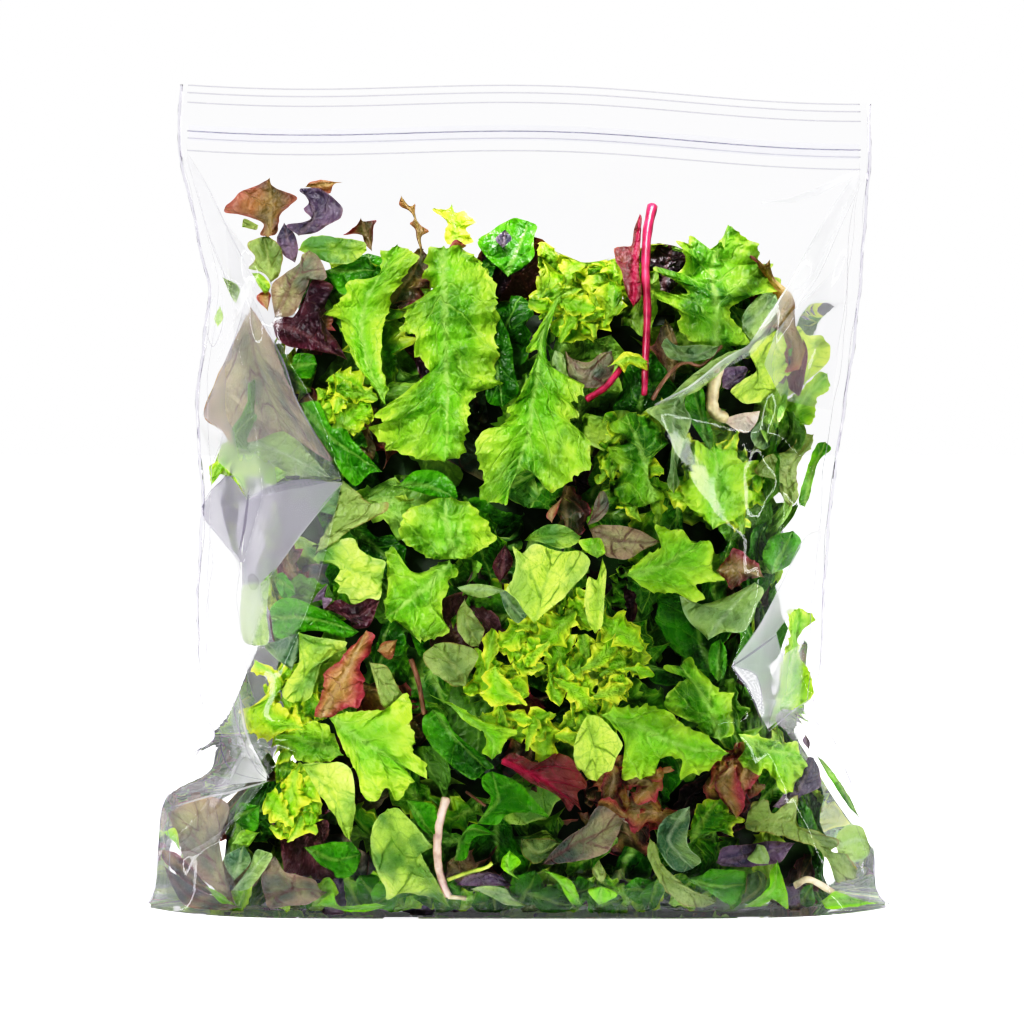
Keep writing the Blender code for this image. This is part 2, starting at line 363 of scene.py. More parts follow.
# Sharp creases, drawn as milky ribbons that are partly the film's own edge tint and partly painted
# reflection, the palest ones painted glints: a line of (x, level), its width, how solid it looks, and how
# pale it is.
CREASES = (
    (((-131, 293), (-126, 277), (-121, 261), (-116, 249), (-112, 238)), 0.5, 0.5, 0.3),
    (((-130, 295), (-122, 282), (-114, 266), (-106, 251), (-103, 243)), 0.5, 0.55, 0.25),
    (((-124, 268), (-118, 255), (-113, 240), (-107, 232)), 0.35, 0.4, 0.5),
    (((-104, 246), (-108, 238), (-113, 229), (-119, 215)), 0.7, 0.8, 1.0),
    (((-120, 241), (-124, 232), (-121, 221), (-117, 229), (-117, 238)), 0.4, 0.6, 0.2),
    (((-107, 238), (-112, 224), (-119, 208), (-125, 194)), 0.6, 0.65, 0.25),
    (((-104, 240), (-98, 228), (-91, 214), (-86, 200), (-78, 186), (-67, 168)), 0.6, 0.65, 0.3),
    (((-125, 194), (-117, 187), (-121, 175), (-126, 160)), 0.4, 0.5, 0.4),
    (((-67, 168), (-80, 169), (-91, 168), (-100, 165), (-107, 161)), 0.5, 0.7, 0.2),
    (((-107, 162), (-112, 170), (-121, 165), (-126, 157)), 0.6, 0.7, 0.15),
    (((-106, 165), (-107, 158), (-108, 150), (-110, 141)), 1.1, 0.9, 0.0),
    (((-67, 168), (-74, 160), (-84, 148), (-93, 136), (-100, 127)), 0.6, 0.55, 0.6),
    (((-124, 152), (-116, 143), (-110, 136), (-111, 122), (-109, 107), (-109, 86)), 0.8, 0.75, 0.45),
    (((-125, 153), (-121, 138), (-123, 122), (-124, 104), (-121, 92)), 0.5, 0.6, 0.4),
    (((-109, 86), (-108, 77), (-105, 67), (-96, 54)), 1.0, 0.8, 0.8),
    (((-114, 99), (-111, 74), (-103, 58), (-96, 53)), 0.6, 0.65, 0.35),
    (((-96, 53), (-104, 50), (-114, 46), (-127, 42), (-140, 38)), 0.8, 0.75, 0.75),
    (((-119, 69), (-117, 60), (-112, 54), (-97, 53)), 0.5, 0.7, 0.2),
    (((-120, 70), (-126, 62), (-134, 50), (-141, 38)), 0.7, 0.7, 0.35),
    (((-141, 36), (-137, 22), (-139, 6)), 0.4, 0.5, 0.5),
    (((135, 296), (124, 280), (114, 262), (103, 242), (96, 231), (89, 221)), 0.5, 0.7, 1.0),
    (((89, 221), (80, 216), (66, 205), (52, 198)), 0.7, 0.6, 0.9),
    (((136, 291), (128, 274), (118, 251), (107, 235)), 0.4, 0.5, 0.6),
    (((134, 288), (131, 270), (130, 244), (126, 218)), 0.4, 0.5, 0.3),
    (((120, 149), (112, 145), (104, 130), (94, 113), (82, 98)), 0.5, 0.6, 0.5),
    (((82, 97), (91, 102), (101, 108)), 0.9, 0.85, 0.05),
    (((82, 97), (86, 92), (90, 86), (96, 72)), 1.0, 0.9, 0.0),
    (((84, 97), (93, 92), (95, 77)), 0.5, 0.7, 0.3),
    (((101, 108), (104, 96), (101, 84), (97, 71)), 0.6, 0.7, 0.35),
    (((97, 71), (104, 75), (111, 79), (119, 83)), 0.5, 0.6, 0.5),
    (((112, 78), (121, 69), (130, 53), (138, 35), (141, 12)), 0.5, 0.6, 0.35),
)
SEAM_LINES = ((-1, 0.4, 0.6), (-1, 3.6, 0.35), (1, 0.4, 0.6), (1, 4.2, 0.35))
# Ribs across the mouth, as offset from its middle and level.
RIBS = ((-1.6, 319.3), (-1.6, 315.5), (-1.9, 301.4), (-2.2, 296.5), (1.6, 322.6))
CREASE_INSET = 0.25
VEIL_INSET = 0.4


def fold_wave(t):
    """A zigzag of height 1 with rounded corners, for sharp film folds."""
    return np.arcsin(0.97 * np.sin(t)) / 1.326


def film_creases(x, level, side):
    """Fine folds of the film: long pulls from the zip's ends, and crumples near the seams."""
    left, right = left_seam(level), right_seam(level)
    across = (2 * x - left - right) / (right - left)
    edge = ease((np.abs(across) - 0.62) / 0.3) * ease((1 - np.abs(across)) / 0.06)
    low = ease(level / 12.0) * (1 - ease((level - 285) / 12.0))
    flip = 1.0 if side < 0 else -1.0
    crumple = 0.0
    for angle, wave, phase, height in (
        (24, 37, 0.3, 1.0), (-38, 29, 1.9, 0.9), (72, 52, 4.1, 0.9), (-8, 19, 2.6, 0.4),
    ):
        c, s = math.cos(math.radians(angle)), math.sin(math.radians(angle))
        warp = 1.3 * np.sin(level * 0.031 + phase * 3) + 0.8 * np.sin(x * 0.043 * flip + phase)
        run = (flip * x * c + level * s) * 2 * math.pi / wave
        crumple = crumple + height * fold_wave(run + warp + phase)
    folds = crumple * edge * low
    for corner_x, corner_level, turn in ((-131, 299, 1.0), (136, 299, -1.0)):
        dx, dz = (x - corner_x) * turn, corner_level - level
        reach = np.hypot(dx, dz) + 1e-6
        angle = np.degrees(np.arctan2(dz, dx))
        fan = ease((angle - 38) / 12) * (1 - ease((angle - 84) / 10))
        span = ease((reach - 6) / 20) * (1 - ease((reach - 62) / 55))
        pulls = fold_wave(np.radians(angle) * 21 + 0.8 * side)
        folds = folds + 1.3 * fan * span * pulls * ease((1 - np.abs(across)) / 0.03)
    swell = 0.5 * np.sin(x * 0.075 + 1.1 * side) * np.sin(level * 0.068 + 0.4)
    return folds + swell * ease((1 - np.abs(across)) / 0.2) * low


def on_film(x, level, side, inset=0.0):
    """Points on a panel of the film, or inside it by the inset."""
    depth = panel_depth(x, level, side)
    creases = film_creases(x, level, side) * np.clip(depth / 12.0, 0, 1)
    y = middle_at(x, level) + side * np.maximum(depth + creases - inset, 0.0)
    return np.stack([x, y, level + mouth_rise(x, level) + FLOOR_GAP], axis=-1)


def film_panel(side):
    """Points of one panel, row by row from the foot to the rim."""
    t = np.linspace(-1, 1, FILM_COLUMNS + 1)
    across = 0.45 * np.sin(math.pi / 2 * t) + 0.55 * t
    top = BAG_HEIGHT - (FRONT_LIP_DROP if side < 0 else 0.0)
    levels = np.linspace(0.0, top, FILM_LEVELS + 1)[:, None]
    left, right = left_seam(levels), right_seam(levels)
    inset = 1 - 0.012 * (1 - ease(levels / 2.0))
    x = (left + right) / 2 + (right - left) / 2 * across[None, :] * inset
    return on_film(x, levels + 0 * x, side)


def film_mesh(name):
    """Front panel, back panel and foot as one shell with shared seams."""
    front, back = film_panel(-1), film_panel(1)
    columns, rows = FILM_COLUMNS + 1, FILM_LEVELS + 1
    t = np.linspace(0, 1, FOOT_ROWS)[:, None, None]
    foot = front[0][None] * (1 - t) + back[0][None] * t
    bumps = 0.6 * np.sin(foot[..., 0] * 0.11) * np.sin(foot[..., 1] * 0.16) + 0.6
    foot[..., 2] = FLOOR_GAP + np.sin(math.pi * t[..., 0]) * np.clip(bumps, 0, None)
    points = [part.reshape(-1, 3) for part in (front, back, foot)]
    faces = [
        grid_faces(rows, columns), grid_faces(rows, columns, rows * columns)[:, ::-1],
        grid_faces(FOOT_ROWS, columns, 2 * rows * columns)[:, ::-1],
    ]
    mesh = mesh_from(name, np.concatenate(points), np.concatenate(faces))
    tidy_mesh(mesh, 0.00004, turn=False)
    return mesh


def curve_through(corners, count):
    """Points along a smooth curve through the corners."""
    corners = np.array(corners, float)
    t = np.linspace(0, len(corners) - 1, count)
    i = np.clip(t.astype(int), 0, len(corners) - 2)
    f = (t - i)[:, None]
    padded = np.concatenate([[2 * corners[0] - corners[1]], corners, [2 * corners[-1] - corners[-2]]])
    a, b, c, d = (padded[i + k] for k in range(4))
    bend, twist = 2 * a - 5 * b + 4 * c - d, 3 * b - a - 3 * c + d
    return 0.5 * (2 * b + (c - a) * f + bend * f ** 2 + twist * f ** 3)


def length_of(line):
    return float(np.hypot(*np.diff(np.array(line, float), axis=0).T).sum())


def traced(line, count):
    """Evenly spaced points along straight runs between the corners."""
    line = np.array(line, float)
    run = np.concatenate([[0], np.cumsum(np.hypot(*np.diff(line, axis=0).T))])
    return np.stack([np.interp(np.linspace(0, run[-1], count), run, line[:, i]) for i in (0, 1)], axis=-1)


def back_veils():
    """The two faces of each dent in the back panel, as sheets like the front's: painted reflections of the
    facets.
    """
    made = []
    for tip, foot, upper, lower in BACK_DARTS:
        made.append(((upper, tip), (upper, foot), (0.5, 0.2), 0.7))
        made.append(((lower, tip), (lower, foot), (0.35, 0.6), 0.4))
    return made


def veil_grid(left, right, haze, pale, side):
    """One milky sheet, partly doubled film and partly painted reflection: its points and the haze and
    paleness at each.
    """
    rows = int(max(length_of(left), length_of(right)) / 1.6) + 3
    first, last = traced(left, rows), traced(right, rows)
    columns = int(np.hypot(*(first - last).T).max() / 1.8) + 3
    t = np.linspace(0, 1, columns)[None, :]
    x = first[:, :1] * (1 - t) + last[:, :1] * t
    level = first[:, 1:] * (1 - t) + last[:, 1:] * t
    looks = np.stack([haze[0] * (1 - t) + haze[1] * t + 0 * x, pale + 0 * x], axis=-1)
    return on_film(x, level, side, VEIL_INSET), looks


def crease_grid(line, width, solid, pale, side):
    """One crease: a narrow ridge of film that tapers at both ends, drawn milky, and a pale one paints a
    glint.
    """
    count = int(length_of(line) / 1.2) + 4
    centre = curve_through(line, count)
    ahead = np.gradient(centre, axis=0)
    ahead /= np.hypot(*ahead.T)[:, None]
    t = np.linspace(0, 1, count)
    taper = np.sin(math.pi * (0.06 + 0.88 * t)) ** 0.6
    across = np.array([-0.5, 0.0, 0.5])
    reach = (width * taper)[:, None] * across
    x = centre[:, :1] + ahead[:, 1:] * reach
    level = centre[:, 1:] - ahead[:, :1] * reach
    points = on_film(x, level, side, CREASE_INSET)
    points[:, 1, 1] += side * 0.2 * width
    looks = np.stack([solid * taper[:, None] + 0 * x, pale + 0 * x], axis=-1)
    return points, looks


def seam_line(way, inset):
    """A crease that runs up beside a side seam."""
    seam = left_seam if way < 0 else right_seam
    levels = np.arange(2, 300, 9.0)
    wander = 0.5 * np.sin(levels * 0.09 + inset) + 0.3 * np.sin(levels * 0.23)
    return [(float(seam(level)) - way * (inset + off), level) for level, off in zip(levels, wander)]


def folds_mesh(name, grids):
    """Sheets or creases as one mesh with their haze and paleness, which paint reflections and glints as well
    as doubled film.
    """
    points, looks, faces, start = [], [], [], 0
    for grid, look in grids:
        points.append(grid.reshape(-1, 3))
        looks.append(np.concatenate([look, 0 * look[..., :1], 0 * look[..., :1] + 1], axis=-1).reshape(-1, 4))
        faces.append(grid_faces(*grid.shape[:2], start))
        start += grid.shape[0] * grid.shape[1]
    mesh = mesh_from(name, np.concatenate(points), np.concatenate(faces))
    fold = mesh.attributes.new("fold", "FLOAT_COLOR", "POINT")
    fold.data.foreach_set("color", np.concatenate(looks).astype(np.float32).ravel())
    return mesh


def mouth_sweep(name, sections, x_low, x_high, steps=120):
    """Bars swept along the mouth. A section is a list of (offset from the middle, level)."""
    xs = np.linspace(x_low, x_high, steps)[:, None]
    points, faces, start = [], [], 0
    for section in sections:
        ring = np.array([*section, section[0]], float)
        level = ring[None, :, 1] + 0 * xs
        x = xs + 0 * level
        y = middle_at(x, level) + ring[None, :, 0]
        z = level + mouth_rise(x, level) + FLOOR_GAP
        points.append(np.stack([x, y, z], axis=-1).reshape(-1, 3))
        faces.append(grid_faces(steps, len(ring), start))
        start += steps * len(ring)
    mesh = mesh_from(name, np.concatenate(points), np.concatenate(faces))
    tidy_mesh(mesh, close=True)
    return mesh


def oval(offset, level, half_width, half_height, sides=8):
    """A small oval bead section."""
    turns = [2 * math.pi * i / sides for i in range(sides)]
    return [(offset + half_width * math.cos(a), level + half_height * math.sin(a)) for a in turns]


def seam_mesh(name):
    """The welded strips outside both side seams, with the slight crinkle of heat-sealed film."""
    points, faces, start = [], [], 0
    levels = np.linspace(1.0, BAG_HEIGHT - 0.5, 260)
    for seam, way in ((left_seam, -1), (right_seam, 1)):
        line = seam(levels)
        crinkle = 0.45 * np.sin(levels * 0.5 + way) + 0.3 * np.sin(levels * 1.1)
        strip = []
        for wall in (-0.12, 0.12):
            for out in (-0.4, 0.0, 0.4, 0.8):
                x = line + way * (out + 0.25 * np.sin(levels * 0.23 + way))
                y = middle_at(line, levels) + crinkle * (out + 0.4) + wall
                z = levels + mouth_rise(line, levels) + FLOOR_GAP
                strip.append(np.stack([x, y, z], axis=-1))
        ring = np.stack(strip, axis=1)[:, [0, 1, 2, 3, 7, 6, 5, 4, 0]]
        points.append(ring.reshape(-1, 3))
        faces.append(grid_faces(len(levels), 9, start))
        start += len(levels) * 9
    mesh = mesh_from(name, np.concatenate(points), np.concatenate(faces))
    tidy_mesh(mesh, close=True)
    return mesh


def wrinkle_group():
    """Shader group: the slow waves and milky clouds of thin film."""
    tree = bpy.data.node_groups.new("film_wrinkle", "ShaderNodeTree")
    tree.interface.new_socket("Scale", in_out="INPUT", socket_type="NodeSocketFloat")
    for name, kind in (("Waves", "NodeSocketFloat"), ("Clouds", "NodeSocketFloat")):
        tree.interface.new_socket(name, in_out="OUTPUT", socket_type=kind)
    graph = Graph(tree)
    scale = graph.node("NodeGroupInput").outputs["Scale"]
    out = graph.node("NodeGroupOutput")
    place = graph.node("ShaderNodeTexCoord").outputs["Object"]
    waves = graph.node("ShaderNodeTexNoise", Vector=place, Scale=scale, Detail=2.0)
    streaks = graph.node("ShaderNodeMapping", Vector=place, Scale=(1.0, 1.0, 0.35))
    clouds = graph.node("ShaderNodeTexNoise", Vector=streaks.outputs[0], Scale=scale, Detail=4.0)
    graph.feed(out.inputs["Waves"], waves.outputs["Fac"])
    graph.feed(out.inputs["Clouds"], graph.ramp(clouds.outputs["Fac"], 0.3, 0.7))
    return tree


def film_material(name, wrinkle, tint, haze, shine, rough):
    """Clear glossy film: see-through face on, mirror-like at a glancing angle, a trace of haze."""
    material, graph, output = new_material(name)
    waves = graph.node("ShaderNodeGroup", {"node_tree": wrinkle}, Scale=55.0).outputs["Waves"]
    bump = graph.node("ShaderNodeBump", Strength=0.08, Distance=0.002, Height=waves)
    fresnel = graph.node("ShaderNodeFresnel", IOR=1.5, Normal=bump.outputs[0]).outputs[0]
    mirror = graph.math("MULTIPLY_ADD", graph.math("SUBTRACT", fresnel, 0.04), shine, 0.012)
    mirror = graph.math("MINIMUM", mirror, 0.92)
    clear = graph.node("ShaderNodeBsdfTransparent", Color=rgb(tint))
    cloud = graph.node("ShaderNodeBsdfDiffuse", Color=(0.93, 0.93, 0.97, 1.0))
    body = graph.node("ShaderNodeMixShader")
    glancing = graph.node("ShaderNodeLayerWeight", Blend=0.35).outputs["Facing"]
    veil = graph.math("MULTIPLY_ADD", graph.math("POWER", glancing, 3.0), haze * 6, haze)
    graph.feed(body.inputs[0], veil)
    graph.feed(body.inputs[1], clear.outputs[0])
    graph.feed(body.inputs[2], cloud.outputs[0])
    gloss = graph.node(
        "ShaderNodeBsdfAnisotropic", Color=(1.0, 0.99, 1.0, 1.0), Roughness=rough, Normal=bump.outputs[0]
    )
    surface = graph.node("ShaderNodeMixShader")
    graph.feed(surface.inputs[0], mirror)
    graph.feed(surface.inputs[1], body.outputs[0])
    graph.feed(surface.inputs[2], gloss.outputs[0])
    graph.feed(output.inputs["Surface"], surface.outputs[0])
    return material


def fold_and_reflection_material(name, wrinkle, grey, white):
    """Doubled film and painted reflections and glints: milky by its own haze, between grey lavender and
    white, and clear to lamps.
    """
    material, graph, output = new_material(name)
    data = graph.node("ShaderNodeAttribute", {"attribute_name": "fold"}).outputs["Color"]
    parts = graph.node("ShaderNodeSeparateColor", Color=data).outputs
    clouds = graph.node("ShaderNodeGroup", {"node_tree": wrinkle}, Scale=40.0).outputs["Clouds"]
    # The white end paints glints and mirrored lights; the grey lavender end paints the grey that the facets
    # mirror.
    colour = graph.mix(parts["Green"], rgb(grey), rgb(white))
    scattered = graph.node("ShaderNodeBsdfDiffuse", Color=colour)
    through = graph.node("ShaderNodeBsdfTranslucent", Color=colour)
    milk = graph.node("ShaderNodeMixShader")
    milk.inputs[0].default_value = 0.4
    graph.feed(milk.inputs[1], scattered.outputs[0])
    graph.feed(milk.inputs[2], through.outputs[0])
    haze = graph.math("MULTIPLY", parts["Red"], graph.math("MULTIPLY_ADD", clouds, 0.3, 0.8))
    lamp = graph.node("ShaderNodeLightPath").outputs["Is Shadow Ray"]
    haze = graph.math("MINIMUM", haze, 1.0)
    haze = graph.math("MULTIPLY", haze, graph.math("MULTIPLY_ADD", lamp, -0.8, 1.0))
    clear = graph.node("ShaderNodeBsdfTransparent", Color=(0.98, 0.98, 0.99, 1.0))
    surface = graph.node("ShaderNodeMixShader")
    graph.feed(surface.inputs[0], haze)
    graph.feed(surface.inputs[1], clear.outputs[0])
    graph.feed(surface.inputs[2], milk.outputs[0])
    graph.feed(output.inputs["Surface"], surface.outputs[0])
    return material


# ---------------------------------------------------------------- leaves
# What each kind of leaf looks like. grid is (step, columns), lobes and teeth are (step, depth)
# along the margin, frill is the least ruffled share of it, and waves are (wavelength, height, how
# close to the margin they stay), all in millimetres. net is the mesh of the small veins. light is the
# tint of each leaf's lit copy: painted light, weighed against a painted-shade copy (SHADED).
# rim is the colour at the margin: the edge's own brown or red on olive, rosso, oak and chard, and
# on the other kinds a painted glow of light through the thin edge.
SHARED_LOOKS = dict(peak=0.5, tip=0.5, rib=1.0, rib_share=0.4, net=0.2, light=(1.8, 1.4, 1.4))
OWN_LOOKS = {
    "batavia": dict(
        grid=(0.95, 26), base=0.36, peak=0.6, lobes=(21, 4.6), teeth=(4.2, 3.2), frill=0.3,
        waves=((30, 8.0, 1.2), (13, 5.5, 1.8), (6, 2.8, 2.8)), blister=1.2, spacing=12.0, slope=0.85,
        rib=1.5, rib_share=0.5, inner=(0.1, 0.4, 0.006), outer=(0.28, 0.62, 0.02),
        vein=(0.5, 0.8, 0.16), vein_share=0.5, rib_colour=(0.52, 0.8, 0.2),
        rim=(0.66, 0.86, 0.14), rough=0.3, light=(2.1, 1.45, 4.0),
    ),
    "frisee": dict(
        grid=(0.75, 16), base=0.3, peak=0.6, tip=0.42, lobes=(8.5, 5.2), teeth=(3.4, 2.6), frill=0.55,
        waves=((15, 7.5, 1.0), (7.5, 5.5, 1.5), (4.4, 2.8, 2.2)), blister=0.6, spacing=7.0, slope=0.9,
        rib=1.5, rib_share=0.25, inner=(0.13, 0.44, 0.003), outer=(0.54, 0.8, 0.03),
        vein=(0.6, 0.8, 0.1), vein_share=0.15, net=0.25, rib_colour=(0.62, 0.8, 0.2),
        rim=(0.86, 0.92, 0.1), rough=0.32, light=(2.0, 1.45, 4.0),
    ),
    "spinach": dict(
        grid=(1.5, 18), base=0.1, peak=0.42, tip=0.72, lobes=(24, 1.2), teeth=(9, 0.4), frill=0.2,
        waves=((34, 5.0, 1.4), (14, 2.2, 2.2)), blister=1.0, spacing=11.0, slope=0.7,
        rib_share=0.5, inner=(0.022, 0.16, 0.003), outer=(0.05, 0.27, 0.004),
        vein=(0.16, 0.4, 0.04), vein_share=0.4, net=0.22, rib_colour=(0.3, 0.52, 0.12),
        rim=(0.14, 0.42, 0.02), rough=0.25,
    ),
    "pale": dict(
        grid=(1.3, 18), base=0.62, tip=0.35, lobes=(18, 3.2), teeth=(6, 1.6), frill=0.0,
        waves=((30, 3.6, 1.4), (12, 1.6, 2.2)), blister=0.6, spacing=13.0, slope=0.8,
        rib=0.8, inner=(0.34, 0.62, 0.08), outer=(0.42, 0.7, 0.12),
        vein=(0.1, 0.27, 0.02), vein_share=0.65, net=0.12, rib_colour=(0.24, 0.42, 0.06),
        rim=(0.66, 0.86, 0.25), rough=0.42,
    ),
    "sage": dict(
        grid=(1.5, 16), base=0.4, lobes=(26, 2.4), teeth=(9, 0.8), frill=0.1,
        waves=((34, 4.0, 1.4), (14, 1.6, 2.2)), blister=0.5, spacing=12.0, slope=0.7,
        inner=(0.22, 0.36, 0.13), outer=(0.3, 0.44, 0.18),
        vein=(0.4, 0.54, 0.28), vein_share=0.35, rib_colour=(0.5, 0.62, 0.4),
        rim=(0.5, 0.66, 0.42), rough=0.4, light=(1.35, 1.3, 0.95),
    ),
    "olive": dict(
        grid=(1.0, 18), base=0.4, peak=0.55, lobes=(17, 5.5), teeth=(5.5, 2.0), frill=0.2,
        waves=((26, 5.0, 1.3), (11, 3.0, 2.0)), blister=0.8, spacing=10.0, slope=0.8,
        inner=(0.19, 0.29, 0.06), outer=(0.26, 0.35, 0.09),
        vein=(0.14, 0.15, 0.03), vein_share=0.45, net=0.14, rib_colour=(0.4, 0.46, 0.16),
        rim=(0.34, 0.17, 0.05), rough=0.38, light=(1.4, 1.35, 1.6),
    ),
    "rosso": dict(
        grid=(0.85, 16), base=0.3, peak=0.62, tip=0.4, lobes=(13, 4.2), teeth=(4.4, 2.0), frill=0.3,
        waves=((20, 8.0, 1.1), (9, 5.0, 1.8), (5, 2.4, 2.6)), blister=0.7, spacing=9.0, slope=0.85,
        rib=1.2, inner=(0.24, 0.2, 0.06), outer=(0.25, 0.04, 0.065),
        vein=(0.36, 0.14, 0.12), vein_share=0.4, rib_colour=(0.5, 0.36, 0.22),
        rim=(0.52, 0.12, 0.16), rough=0.3,
    ),
    "oak": dict(
        grid=(0.9, 18), base=0.22, peak=0.62, tip=0.62, lobes=(13, 9.0), teeth=(6, 1.4), frill=0.2,
        waves=((26, 3.5, 1.4), (11, 1.8, 2.2)), blister=0.6, spacing=9.0, slope=0.8,
        rib=0.9, inner=(0.28, 0.19, 0.06), outer=(0.33, 0.11, 0.085),
        vein=(0.42, 0.28, 0.12), vein_share=0.35, net=0.16, rib_colour=(0.42, 0.32, 0.14),
        rim=(0.36, 0.12, 0.09), rough=0.4, light=(1.2, 1.05, 1.0),
    ),
    "purple": dict(
        grid=(1.3, 18), base=0.3, lobes=(20, 2.0), teeth=(8, 0.8), frill=0.2,
        waves=((28, 5.0, 1.3), (12, 2.4, 2.2)), blister=0.7, spacing=9.0, slope=0.75,
        inner=(0.035, 0.012, 0.02), outer=(0.07, 0.018, 0.035),
        vein=(0.16, 0.07, 0.09), vein_share=0.4, rib_colour=(0.26, 0.12, 0.13),
        rim=(0.24, 0.1, 0.11), rough=0.28,
    ),
    "mauve": dict(
        grid=(1.5, 16), base=0.35, tip=0.55, lobes=(22, 2.0), teeth=(9, 0.8), frill=0.2,
        waves=((34, 3.4, 1.4), (14, 1.6, 2.2)), blister=0.5, spacing=14.0, slope=0.7,
        rib_share=0.5, inner=(0.25, 0.27, 0.17), outer=(0.29, 0.23, 0.19),
        vein=(0.17, 0.07, 0.08), vein_share=0.7, net=0.1, rib_colour=(0.2, 0.08, 0.09),
        rim=(0.42, 0.3, 0.26), rough=0.42, light=(1.4, 1.3, 1.0),
    ),
    "mizuna": dict(
        grid=(0.9, 14), base=0.2, peak=0.55, tip=0.75, lobes=(12, 6.5), teeth=(5, 2.0), frill=0.3,
        waves=((24, 3.8, 1.4), (10, 2.0, 2.2)), blister=0.4, spacing=9.0, slope=0.6,
        inner=(0.1, 0.42, 0.006), outer=(0.2, 0.6, 0.012),
        vein=(0.4, 0.66, 0.12), vein_share=0.25, net=0.22, rib_colour=(0.5, 0.7, 0.2),
        rim=(0.45, 0.78, 0.05), rough=0.32,
    ),
    "chard": dict(
        grid=(1.2, 18), base=0.16, peak=0.45, tip=0.7, lobes=(16, 1.8), teeth=(7, 0.8), frill=0.2,
        waves=((26, 4.0, 1.4), (11, 2.2, 2.2)), blister=1.1, spacing=8.0, slope=0.8,
        rib=1.6, rib_share=0.75, inner=(0.17, 0.05, 0.05), outer=(0.22, 0.07, 0.06),
        vein=(0.4, 0.02, 0.08), vein_share=0.55, rib_colour=(0.48, 0.015, 0.09),
        rim=(0.36, 0.12, 0.1), rough=0.3, light=(1.3, 1.1, 1.1),
    ),
    "violet": dict(
        grid=(1.3, 18), base=0.3, lobes=(20, 2.0), teeth=(8, 0.8), frill=0.2,
        waves=((28, 5.0, 1.3), (12, 2.4, 2.2)), blister=0.7, spacing=9.0, slope=0.75,
        inner=(0.1, 0.075, 0.12), outer=(0.14, 0.09, 0.14),
        vein=(0.22, 0.17, 0.22), vein_share=0.4, rib_colour=(0.3, 0.22, 0.26),
        rim=(0.3, 0.2, 0.24), rough=0.28, light=(1.6, 1.5, 1.6),
    ),
    "blush": dict(
        grid=(1.5, 16), base=0.35, tip=0.55, lobes=(22, 2.0), teeth=(9, 0.8), frill=0.2,
        waves=((34, 3.4, 1.4), (14, 1.6, 2.2)), blister=0.5, spacing=14.0, slope=0.7,
        rib_share=0.3, inner=(0.78, 0.66, 0.58), outer=(0.82, 0.72, 0.64),
        vein=(0.6, 0.4, 0.36), vein_share=0.4, net=0.1, rib_colour=(0.8, 0.62, 0.5),
        rim=(0.8, 0.6, 0.5), rough=0.42, light=(1.1, 1.05, 1.0),
    ),
}
KINDS = {kind: SHARED_LOOKS | own for kind, own in OWN_LOOKS.items()}
